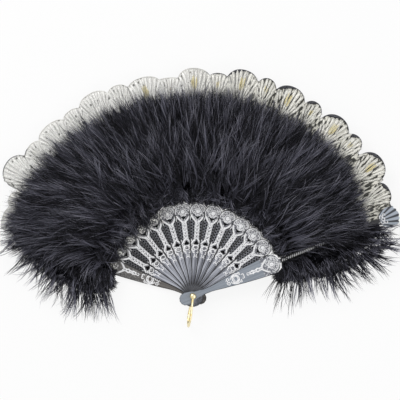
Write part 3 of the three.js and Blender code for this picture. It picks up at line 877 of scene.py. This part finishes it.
def add_rim(gap):
    """The satin binding of one gap's scalloped edge: a band with a section of five points."""
    top, bottom = stick_angle(gap - 1) + (OVERRUN_ANGLE if gap == 1 else 0), stick_angle(gap)
    points = []
    for i in range(RIM_STEPS + 1):
        angle = bottom + (top - bottom) * i / RIM_STEPS
        width, edge = rim_width(angle), scallop_reach(angle)
        section = ((edge + 0.25, -0.5), (edge + 0.4, 0.3), (edge - width * 0.4, 0.6), (edge - width, 0.25),
                   (edge - width + 0.1, -0.4))
        points += [leaf_point(gap, angle, reach, lift) for reach, lift in section]
    last = RIM_STEPS * 5
    faces = [(start + j, start + j + 5, start + (j + 1) % 5 + 5, start + (j + 1) % 5)
             for start in range(0, last, 5) for j in range(5)]
    obj = mesh_object(f"lace_rim_{gap:02d}", points, faces)
    close_up(obj, [list(range(5)), list(range(last, last + 5))])
    return obj


# ---- feathers: thousands of thin curved strands over a dark lumpy core


def loft_height(reach):
    """Height of the feathers' top over the leaf, at a reach."""
    knots = [100, 118.5, 135.6, 152.8, 169.9, 187, 203.5, 220, 236.5, 253, 275]
    return np.interp(reach, knots, [8, 12.7, 28.6, 33, 30.7, 25, 27.7, 26.5, 19.5, 9, 4])


def strand_mesh(roots, directions, lengths, curls, lifts, radius, tone, rng, segments):
    """Closed strands of three sides that bend and taper: points by strand, faces, and shades by strand, which
    carry painted highlights.
    """
    n = len(roots)
    here = roots.copy()
    heading = directions / np.linalg.norm(directions, axis=1)[:, None]
    turn = rng.uniform(0, 2 * np.pi, n)
    rings, shades = [], []
    step = lengths / segments
    for j in range(segments + 1):
        share = j / segments
        side = np.cross(heading, np.array([0.0, 0.0, 1.0]))
        side /= np.maximum(np.linalg.norm(side, axis=1), 1e-6)[:, None]
        over = np.cross(side, heading)
        if j == segments:
            rings.append(here[:, None, :])
        else:
            size = radius * (1 - 0.7 * share)
            spin = turn[:, None] + np.radians([0, 120, 240])[None, :]
            ring = here[:, None, :] + (side[:, None, :] * np.cos(spin)[..., None]
                                       + over[:, None, :] * np.sin(spin)[..., None]) * size[:, None, None]
            rings.append(ring)
        shades.append(np.repeat((0.2 + 0.8 * tone * (0.55 + 0.45 * share))[:, None], rings[-1].shape[1], 1))
        here = here + heading * step[:, None]
        bend = curls / segments * (0.5 + share)
        c, s = np.cos(bend), np.sin(bend)
        x, y = heading[:, 0].copy(), heading[:, 1].copy()
        heading[:, 0], heading[:, 1] = x * c - y * s, x * s + y * c
        heading[:, 2] += lifts / segments
        heading /= np.linalg.norm(heading, axis=1)[:, None]
        here[:, 2] = np.clip(here[:, 2], LOWEST_DOWN, HIGHEST_DOWN)
    last = 3 * (segments - 1)
    tip = last + 3
    faces = [(0, 2, 1)]
    for start in range(0, last, 3):
        for i in range(3):
            a, b = start + i, start + (i + 1) % 3
            faces += [(a, b, b + 3), (a, b + 3, a + 3)]
    faces += [(last + i, last + (i + 1) % 3, tip) for i in range(3)]
    faces = np.array(faces)[None, :, :] + (np.arange(n) * (tip + 1))[:, None, None]
    return np.concatenate(rings, axis=1), faces.reshape(-1, 3), np.concatenate(shades, axis=1)


def down_edge(angle):
    """Reach of the feathers' outer edge at an angle: shorter beside the front guard, where the lace shows."""
    return np.interp(angle, [22, 33, 44], [231, 243, 254])


def flattened(level, angle):
    """A level in the down, in millimetres, pressed towards the front guard's rib where it lies beside it."""
    share = np.interp(angle - RIGHT_ANGLE, [-6.0, -1.2, 1.2, 6.0], [1, 0.2, 0.2, 1])
    rope = RIB_TOPS[GAPS] - 1.0
    return level - np.maximum(0, level - rope) * (1 - share)


def keeps_clear(block):
    """True for strands that leave the front guard's relief, its shell and the stick heads in sight."""
    x, y = block[..., 0], block[..., 1]
    reach = np.hypot(x, y)
    angle = np.degrees(np.arctan2(y, x))
    along = reach * np.cos(np.radians(angle - RIGHT_ANGLE))
    across = reach * np.sin(np.radians(angle - RIGHT_ANGLE))
    # the front guard's rope, shell, blade and head
    blocked = (along > 116) & (along < 179) & (np.abs(across) < 1.9)
    blocked |= (along > 257) & (np.abs(across) < 10.5)
    blocked |= (along < 98) & (along > 60) & (np.abs(across) < 11)
    blocked |= np.hypot(along - HEAD_CENTRE, across) < 12.0
    # the other heads, of which the left ones lie partly under down
    for k in range(GAPS):
        cx, cy = polar(HEAD_CENTRE, stick_angle(k))
        blocked |= np.hypot(x - cx, y - cy) < (10.4 if k > LEFT_HEADS else 4.2)
    # the ring between the blades and the down
    blocked |= (reach < 108.5) & (angle > 30) & (angle < 112)
    blocked |= (reach < 98.5) & (angle >= 112) & (angle < 169)
    # past the widest outline in the photo
    blocked |= (x < -263) | (x > 279) | (y < -38)
    return ~blocked.any(axis=1)


def clumped(rng, n, per_clump):
    """An index of clump for each of n strands, and the count of clumps."""
    clumps = max(1, n // per_clump)
    return rng.integers(0, clumps, n), clumps


def flow(angle):
    """Which way the down lies at an angle round the fan: mostly outward, leaning left on the left side."""
    return angle + np.interp(angle, [20, 45, 75, 120, 145, 162], [-12, -4, 2, 10, 22, 30])


def strand_vectors(way, rise):
    return np.stack([np.cos(way) * np.cos(rise), np.sin(way) * np.cos(rise), np.sin(rise)], axis=1)


def strand_radii(rng, n, low, high):
    """Radii of n strands, in millimetres, between two shares of the set radius."""
    return sizes().strand_radius / MM * rng.uniform(low, high, n)


def strand_tones(tone, rng):
    """Tones of strands about those of their clumps. One in seven gets a painted highlight: its tone is lifted
    high.
    """
    tones = np.clip(tone + rng.normal(0, 0.15, len(tone)), 0, 1)
    return np.where(rng.uniform(0, 1, len(tones)) < 0.14, rng.uniform(0.75, 1.0, len(tones)), tones)


def collar_strands(low, high, inner, rng, n, longest):
    """Short strands that close the ring where the tufts meet the stick heads, between two angles."""
    a = rng.uniform(low, high, n)
    r = inner + rng.uniform(0, 7.0, n)
    z = rib_level(a) + rng.uniform(0.6, 9.0, n)
    way = np.radians(a + rng.normal(180, 45, n))
    directions = strand_vectors(way, rng.normal(0.0, 0.15, n))
    lengths = rng.uniform(5.0, longest, n)
    radius = strand_radii(rng, n, 0.8, 1.4)
    return (np.stack([*polar(r, a), z], axis=1), directions, lengths, rng.normal(0, 0.6, n),
            -rng.uniform(0.1, 0.6, n), radius, rng.uniform(0, 0.7, n) ** 1.5)


def rib_strands(rng, n):
    """Strands that lie close along the lower side of the front guard's rib."""
    along = rng.uniform(114, 246, n)
    across = -rng.uniform(1.9, 4.4, n)
    turn = math.radians(RIGHT_ANGLE)
    x = along * math.cos(turn) - across * math.sin(turn)
    y = along * math.sin(turn) + across * math.cos(turn)
    z = rng.uniform(18.0, 24.5, n)
    way = np.radians(RIGHT_ANGLE + rng.normal(-9, 8, n))
    directions = strand_vectors(way, rng.normal(0.02, 0.06, n))
    radius = strand_radii(rng, n, 0.8, 1.4)
    return (np.stack([x, y, z], axis=1), directions, rng.uniform(9, 20, n), rng.normal(-0.2, 0.25, n),
            -rng.uniform(0.0, 0.4, n), radius, rng.uniform(0, 0.8, n) ** 1.6)


def tuft_strands(gap, row, rng):
    """Roots, headings, lengths, bends, lifts, radii and tones of one tuft's strands."""
    n = sizes().strand_count
    index, clumps = clumped(rng, n, 7)
    left, right = stick_angle(gap - 1), stick_angle(gap)
    outer = row == "outer"
    kind = ROWS[row]
    angle = rng.uniform(right, left, clumps)
    edge = rng.normal(0, 5.5, clumps) + down_edge(angle)
    reach = np.minimum(rng.uniform(*kind.reach, clumps), edge - 13)
    heading = rng.normal(0, kind.turn, clumps)
    # some of the inner row's clumps are short and lie any way, towards the heads
    inward = (reach < 136) & (rng.uniform(0, 1, clumps) < 0.5) & (not outer)
    heading = np.where(inward, rng.normal(180, 60, clumps), heading)
    length = rng.uniform(*kind.length, clumps)
    length = np.where(inward, rng.uniform(8, 18, clumps) + (9 if gap <= LEFT_HEADS else 0), length)
    length = np.where(~inward & (reach + length > edge), np.maximum(edge - reach, 12), length)
    curl = np.clip(rng.normal(0, kind.bend, clumps), -0.9, 0.9)
    lift = np.radians(rng.uniform(4, 26, clumps))
    depth = rng.uniform(0.42, 1.0, clumps)
    # the clumps' tones, whose few high ones are painted highlights on their locks
    tone = rng.uniform(0, 1, clumps) ** 2.1
    a = angle[index] + rng.normal(0, 0.26, n)
    r = reach[index] + rng.normal(0, 3.0, n)
    z = flattened(rib_level(a) + loft_height(r) * depth[index], a)
    way = np.radians(flow(a) + heading[index] + rng.normal(0, 4, n))
    directions = strand_vectors(way, lift[index] + rng.normal(0, 0.1, n))
    lengths = length[index] * rng.uniform(0.75, 1.2, n)
    curls = curl[index] + rng.normal(0, 0.2, n)
    lifts = -rng.uniform(0.2, 1.0, n) * np.where(lengths > 14, 1.0, 0.6)
    tones = strand_tones(tone[index], rng)
    strands = (np.stack([*polar(r, a), z], axis=1), directions, lengths, curls, lifts,
               strand_radii(rng, n, 0.5, 1.2), tones)
    if outer:
        return strands
    inner, longest = (116.5, 9.5) if gap > LEFT_HEADS else (112.0, 15.0)
    collar = collar_strands(right, left, inner, rng, 420, longest)
    return [np.concatenate(pair) for pair in zip(strands, collar)]


def end_clumps(tuft, side, kind, rng):
    """Strands of one kind in a tuft past a guard. side is 1 past the left guard and -1 past the right one."""
    n = int(sizes().end_strand_count * kind.share)
    index, clumps = clumped(rng, n, kind.clump)
    wisp = kind is WISP
    widest = tuft.edge[0][-1]
    off = tuft.nearest + (widest - tuft.nearest) * rng.uniform(0, 1, clumps) ** kind.power
    edge = np.interp(off, *tuft.edge)
    inner = tuft.inner + 9.0 * (off / widest) ** 2
    share = rng.uniform(0, 1, clumps)
    if wisp:
        # a third of the wisps start at the outline
        share = np.where(rng.uniform(0, 1, clumps) < 0.35, 1.0, share)
    reach = inner + share * (edge - inner - 4)
    place = (reach - 118) / 132
    # beside the guard the down lies along it
    beside = np.clip(1 - off / 6, 0, 1) * 0.6
    way = np.interp(place, [0, 0.12, 0.35, 0.6, 0.85, 1], tuft.ways)
    way = way * (1 - beside) + (tuft.axis + side * 10) * beside
    way = way + rng.normal(0, kind.turn, clumps)
    length = rng.uniform(0.6, 1.0, clumps) * (30 - 20 * np.clip(off / widest, 0, 1))
    if wisp:
        length = rng.uniform(31, 60, clumps) * (1 - 0.35 * place)
    curl = rng.normal(0.25 * -side, 0.45, clumps)
    # the clumps' tones, whose few high ones are painted highlights on their locks
    tone = rng.uniform(0, 1, clumps) ** 2.0
    height = rng.uniform(0.3, 1.0, clumps)
    a = (tuft.axis + side * off)[index] + rng.normal(0, kind.aside, n)
    r = reach[index] + rng.normal(0, kind.out, n)
    fall = np.clip(1.12 - off[index] / (widest * 1.2), 0.2, 1)
    z = flattened(tuft.floor * fall + END_LOFT * height[index] * fall + 1.0, a)
    heading = np.radians(way[index] + rng.normal(0, kind.astray, n))
    rise = np.radians(rng.uniform(-6, 20, clumps))[index]
    directions = strand_vectors(heading, rise + rng.normal(0, 0.1, n))
    lengths = length[index] * rng.uniform(0.75, 1.12, n)
    curls = curl[index] + rng.normal(0, kind.bend, n)
    lifts = -rng.uniform(0.3, 1.1, n)
    tones = strand_tones(tone[index], rng)
    radius = strand_radii(rng, n, 0.6, 1.25) * kind.thick
    return np.stack([*polar(r, a), z], axis=1), directions, lengths, curls, lifts, radius, tones


def end_strands(side, rng):
    """Strands of a tuft past a guard. side is 1 past the left guard and -1 past the right one."""
    tuft = END_TUFTS[side]
    groups = [end_clumps(tuft, side, kind, rng) for kind in (DENSE, WISP)]
    groups.append(collar_strands(*tuft.collar, rng, 900, 13.0))
    if side < 0:
        groups.append(rib_strands(rng, 700))
    return [np.concatenate(column) for column in zip(*groups)]


def feather_material():
    """Dyed marabou down: near-black barbs, with soft grey highlights painted on some locks and strands."""
    c = colours()
    material, tree, shader = new_material("dyed marabou down")
    # the shade attribute is each strand's tone, its high values painted highlights
    shade = node(tree, "Attribute", attribute_name="shade", attribute_type="GEOMETRY").outputs["Fac"]
    stops = [(0.0, "#030304"), (0.22, c.feather), (0.46, "#282830"), (0.74, c.feather_highlight),
             (1.0, "#b6b6c4")]
    base = ramp(tree, shade, [(position, linear(colour)) for position, colour in stops])
    wire(tree, shader, {"Base Color": base, "Roughness": 0.5, "Specular IOR Level": 0.2})
    return material


def down_core_and_shade_material():
    """Packed underdown, painted almost black as the shade deep in the down: without any sheen, in tangles 4
    mm apart.
    """
    material, tree, shader = new_material("packed underdown")
    _, tone = grain(tree, 250.0, 4.0, 0.4, 0.75)
    wire(tree, shader, {"Base Color": mixed(tree, tone, "#040405", "#16161a"), "Roughness": 1.0,
                        "Specular IOR Level": 0.0})
    return material


def drawn_in(reach, angle, side):
    """Reach and angle of a core's point, drawn in behind the down's outline. side as in add_tuft."""
    if not side:
        return min(reach, float(down_edge(angle)) - 9.0), angle
    tuft = END_TUFTS[side]
    widest = tuft.edge[0][-1]
    off = side * (angle - tuft.axis)
    if off > 0:
        off *= widest / END_CORE_ANGLE
    low = tuft.core_inner + 9.0 * (off / widest) ** 2
    high = float(np.interp(off, *tuft.edge)) - 4.0
    return min(max(reach, low), high), tuft.axis + side * off


def core_of(name, node_name, sink, side):
    """A lumpy core: a copy of the plain tuft, welded, subdivided, roughened and drawn in, its top lowered."""
    obj = linked(name, NODES[node_name].data.copy())
    select_only(obj)
    bpy.ops.object.mode_set(mode="EDIT")
    bpy.ops.mesh.select_all(action="SELECT")
    bpy.ops.mesh.remove_doubles(threshold=0.00002)
    bpy.ops.mesh.subdivide(number_cuts=3)
    bpy.ops.mesh.vertices_smooth(factor=0.5, repeat=4)
    bpy.ops.object.mode_set(mode="OBJECT")
    normals = [v.normal.copy() for v in obj.data.vertices]
    for v, normal in zip(obj.data.vertices, normals):
        # lumps 13 mm apart and 1.2 mm high
        lump = math.sin(v.co.x * 500) * math.sin(v.co.y * 470 + 1.3)
        v.co -= normal * (sink * MM + 0.0012 * lump)
        v.co.z = max(0.0006, v.co.z - CORE_DROP * MM * max(0.0, normal.z))
        reach, angle = math.hypot(v.co.x, v.co.y) / MM, math.degrees(math.atan2(v.co.y, v.co.x))
        if angle < -90:
            angle += 360
        reach, angle = drawn_in(reach, angle, side)
        v.co.x, v.co.y = polar(reach * MM, angle)
        v.co.z = float(flattened(v.co.z / MM, angle)) * MM
    return obj


def add_tuft(name, strands, node_name, materials, rng, side=0):
    """One tuft, strands and core as one mesh. side is 1 past the left guard and -1 past the right one."""
    block, faces, shade = strand_mesh(*strands, rng, segments=5 if side else 4)
    kept = keeps_clear(block)
    each = len(faces) // len(block)
    obj = mesh_object(name, block[kept].reshape(-1, 3), faces[:each * int(kept.sum())])
    shades = obj.data.attributes.new("shade", "FLOAT", "POINT")
    shades.data.foreach_set("value", shade[kept].ravel().astype(np.float32))
    # the dark core is dense down and the painted shade deep in the tuft
    core = core_of(name + "_core", node_name, 0.8 if side else 2.5, side)
    for piece, material in zip((obj, core), materials):
        paint(piece, material)
    obj = joined(name, [obj, core])
    return obj


# ---- brass


def brass_material():
    """Polished brass: a bright mirror that dulls in 3 mm patches of tarnish."""
    material, tree, shader = new_material("polished brass")
    patches, tone = grain(tree, 330.0, 3.0, 0.35, 0.7)
    wire(tree, shader, {"Base Color": mixed(tree, tone, "#e3cc8e", colours().brass), "Metallic": 1.0,
                        "Roughness": ranged(tree, patches, 0.0, 1.0, 0.18, 0.34)})
    return material


def add_bail(name):
    """The bail: brass wire in a U, its rear leg beside the front one, with an eye at each rivet end."""
    bottom, top = (corner.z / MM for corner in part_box("bail"))
    low, high = bottom + 1.2, top - 1.2
    bend = (high - low) / 2
    route = [(3.2, 0.0, high), (10.0, 0.0, high), (19.0, 0.0, high)]
    for step in range(BAIL_STEPS + 1):
        share = step / BAIL_STEPS
        turn = math.pi * share
        route.append((BAIL_BEND + bend * math.sin(turn), -BAIL_OFFSET * share ** 0.7,
                      high - bend + bend * math.cos(turn)))
    route += [(19.0, -2.3, low), (10.0, -1.2, low), (3.2, 0.0, low)]
    parts = [rods(name, [(route, [1.0] * len(route), False)], BAIL_WIRE, 3)]
    for level in (low, high):
        parts.append(primitive(bpy.ops.mesh.primitive_torus_add, major_segments=32, minor_segments=12,
                               major_radius=2.75 * MM, minor_radius=0.95 * MM,
                               location=(0, 0, level * MM)))
    obj = joined(name, parts)
    turn_to(obj, BAIL_ANGLE)
    bpy.ops.object.shade_smooth()
    return obj


# ---- stage


def floor_material():
    """White seamless paper: it keeps a light shadow of the fan, and shows white to the camera."""
    material, tree, shader = new_material("white seamless paper")
    wire(tree, shader, {"Base Color": (0.9, 0.9, 0.9, 1), "Roughness": 0.9, "Specular IOR Level": 0.0})
    light = node(tree, "LightPath").outputs
    seen = maths(tree, "MAXIMUM", light["Is Camera Ray"], light["Is Glossy Ray"])
    white = node(tree, "Emission", {"Color": (1, 1, 1, 1), "Strength": 1.0})
    shown = node(tree, "MixShader", {0: product(tree, seen, 0.85), 1: shader.outputs[0], 2: white.outputs[0]})
    wire(tree, tree.nodes["Material Output"], {0: shown.outputs[0]})
    return material


def add_lamp(name, place, size, power):
    """A square lamp that points at the middle of the fan."""
    lamp = bpy.data.lights.new(name, "AREA")
    lamp.size = size
    lamp.energy = power
    obj = linked(name, lamp)
    obj.location = place
    obj.rotation_euler = (Vector((0, 0.12, 0)) - Vector(place)).to_track_quat("-Z", "Y").to_euler()


def set_world():
    """A white studio, dimmer as light than it is to the camera."""
    world = bpy.data.worlds.new("studio")
    world.use_nodes = True
    bpy.context.scene.world = world
    tree = world.node_tree
    light = node(tree, "LightPath").outputs
    seen = maths(tree, "MAXIMUM", light["Is Camera Ray"], light["Is Transmission Ray"])
    level = maths(tree, "ADD", product(tree, seen, 0.4), 0.6)
    level = maths(tree, "ADD", product(tree, light["Is Glossy Ray"], 0.3), level)
    wire(tree, tree.nodes["Background"], {"Color": (1, 1, 1, 1), "Strength": level})


# ---- operators


class FAN_OT_blades(bpy.types.Operator):
    """Finishes the two guards and the twelve sticks, and stamps the silver relief on them"""

    bl_idname = "fan.blades"
    bl_label = "Blades and relief"
    bl_options = {"REGISTER", "UNDO"}

    def execute(self, context):
        foil, film = foil_material(), shade_film_material()
        for k in range(GAPS + 1):
            name = stick_name(k)
            paint(NODES[name], blade_material(k))
            obj = add_foil(k, "foil_" + name)
            give(obj, foil)
            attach(obj, CHAIN[k])
            if 0 < k < GAPS:
                # painted shade: a black sheet behind each blade's piercings
                shade_backing = add_shade_film(k, "film_" + name)
                give(shade_backing, film)
                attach(shade_backing, CHAIN[k])
        return {"FINISHED"}


class FAN_OT_leaf(bpy.types.Operator):
    """Folds the lace leaf and sews its stitches and its binding"""

    bl_idname = "fan.leaf"
    bl_label = "Lace leaf"
    bl_options = {"REGISTER", "UNDO"}

    def execute(self, context):
        net = net_material()
        silver = stitch_material("silver embroidery thread", colours().stitch, "#b2b2ae")
        gold = stitch_material("gold embroidery thread", colours().gold, "#b5a878")
        binding = stitch_material("black satin binding", "#44454b", "#1b1b1f")
        # painted light: on the left, but for gap 2, the black satin binding is washed out pale
        pale = stitch_material("black satin binding washed out by light", "#e6e5e0", "#c9c8c2")
        rng = np.random.default_rng(11)
        for gap in range(1, GAPS + 1):
            leaf = add_leaf(gap)
            give(leaf, net)
            pieces = []
            for word, material in (("silver", silver), ("gold", gold)):
                points, faces = stitches_of(gap, word == "gold", rng)
                if points:
                    piece = mesh_object(f"lace_{word}_{gap:02d}", points, faces)
                    give(piece, material)
                    pieces.append(piece)
            rim = add_rim(gap)
            give(rim, binding if gap == 2 or gap > 7 else pale)
            pieces.append(rim)
            for piece in [leaf, *pieces]:
                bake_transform(piece)
            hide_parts(f"leaf_{gap:02d}")
            width, length, area = flat_size(gap)
        return {"FINISHED"}


class FAN_OT_feathers(bpy.types.Operator):
    """Grows the two rows of marabou tufts and the loose tufts past the guards"""

    bl_idname = "fan.feathers"
    bl_label = "Feathers"
    bl_options = {"REGISTER", "UNDO"}

    def execute(self, context):
        materials = feather_material(), down_core_and_shade_material()
        rng = np.random.default_rng(5)
        for gap in range(1, GAPS + 1):
            for row in ROWS:
                name = f"feather_{row}_{gap:02d}"
                obj = add_tuft(f"marabou_{row}_{gap:02d}", tuft_strands(gap, row, rng), name, materials, rng)
                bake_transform(obj)
                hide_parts(name)
        for side, word, body in ((1, "left", CHAIN[0]), (-1, "right", CHAIN[-1])):
            name = "feather_end_" + word
            obj = add_tuft("marabou_end_" + word, end_strands(side, rng), name, materials, rng, side)
            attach(obj, body)
            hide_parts(name)
        return {"FINISHED"}


class FAN_OT_brass(bpy.types.Operator):
    """Finishes the rivet and bends the bail"""

    bl_idname = "fan.brass"
    bl_label = "Rivet and bail"
    bl_options = {"REGISTER", "UNDO"}

    def execute(self, context):
        material = brass_material()
        for name in ("rivet_pin", "rivet_cap"):
            paint(NODES[name], material)
        bail = add_bail("brass_bail")
        give(bail, material)
        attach(bail, "bail_body")
        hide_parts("bail")
        return {"FINISHED"}


class FAN_OT_stage(bpy.types.Operator):
    """Sets the pale floor, the lamps and the camera straight above the fan"""

    bl_idname = "fan.stage"
    bl_label = "Stage"
    bl_options = {"REGISTER", "UNDO"}

    def execute(self, context):
        floor = primitive(bpy.ops.mesh.primitive_plane_add, size=8, location=(0, 0, -0.0004))
        floor.name = "floor"
        floor.data.materials.append(floor_material())
        camera = linked("camera", bpy.data.cameras.new("camera"))
        camera.data.sensor_width = 36
        camera.data.lens = 143
        camera.location = (0.0088, 0.1197, 2.0)
        bpy.context.scene.camera = camera
        add_lamp("key", (-0.9, 1.1, 1.5), 1.2, 16)
        add_lamp("fill", (1.2, -0.4, 1.6), 1.4, 8)
        set_world()
        bpy.context.scene.view_settings.view_transform = "Standard"
        return {"FINISHED"}


OPERATORS = [FAN_OT_stage, FAN_OT_blades, FAN_OT_brass, FAN_OT_leaf, FAN_OT_feathers]


class FAN_PT_panel(bpy.types.Panel):
    """Lists the fan's groups of pieces and their settings"""

    bl_idname = "FAN_PT_panel"
    bl_label = "Feather fan"
    bl_space_type = "VIEW_3D"
    bl_region_type = "UI"
    bl_category = "Feather fan"

    def draw(self, context):
        for group in (context.scene.feather_fan_sizes, context.scene.feather_fan_colours):
            for name in group.bl_rna.properties.keys():
                if name not in ("rna_type", "name"):
                    self.layout.prop(group, name)
        for operator in OPERATORS:
            self.layout.operator(operator.bl_idname)


CLASSES = [FanSizes, FanColours, *OPERATORS, FAN_PT_panel]


def register():
    for made in CLASSES:
        bpy.utils.register_class(made)
    bpy.types.Scene.feather_fan_sizes = bpy.props.PointerProperty(type=FanSizes)
    bpy.types.Scene.feather_fan_colours = bpy.props.PointerProperty(type=FanColours)


def unregister():
    del bpy.types.Scene.feather_fan_sizes
    del bpy.types.Scene.feather_fan_colours
    for made in reversed(CLASSES):
        bpy.utils.unregister_class(made)


def main():
    register()
    bpy.ops.fan.stage()
    bpy.ops.fan.blades()
    bpy.ops.fan.brass()
    bpy.ops.fan.leaf()
    bpy.ops.fan.feathers()


if __name__ == "__main__":
    main()
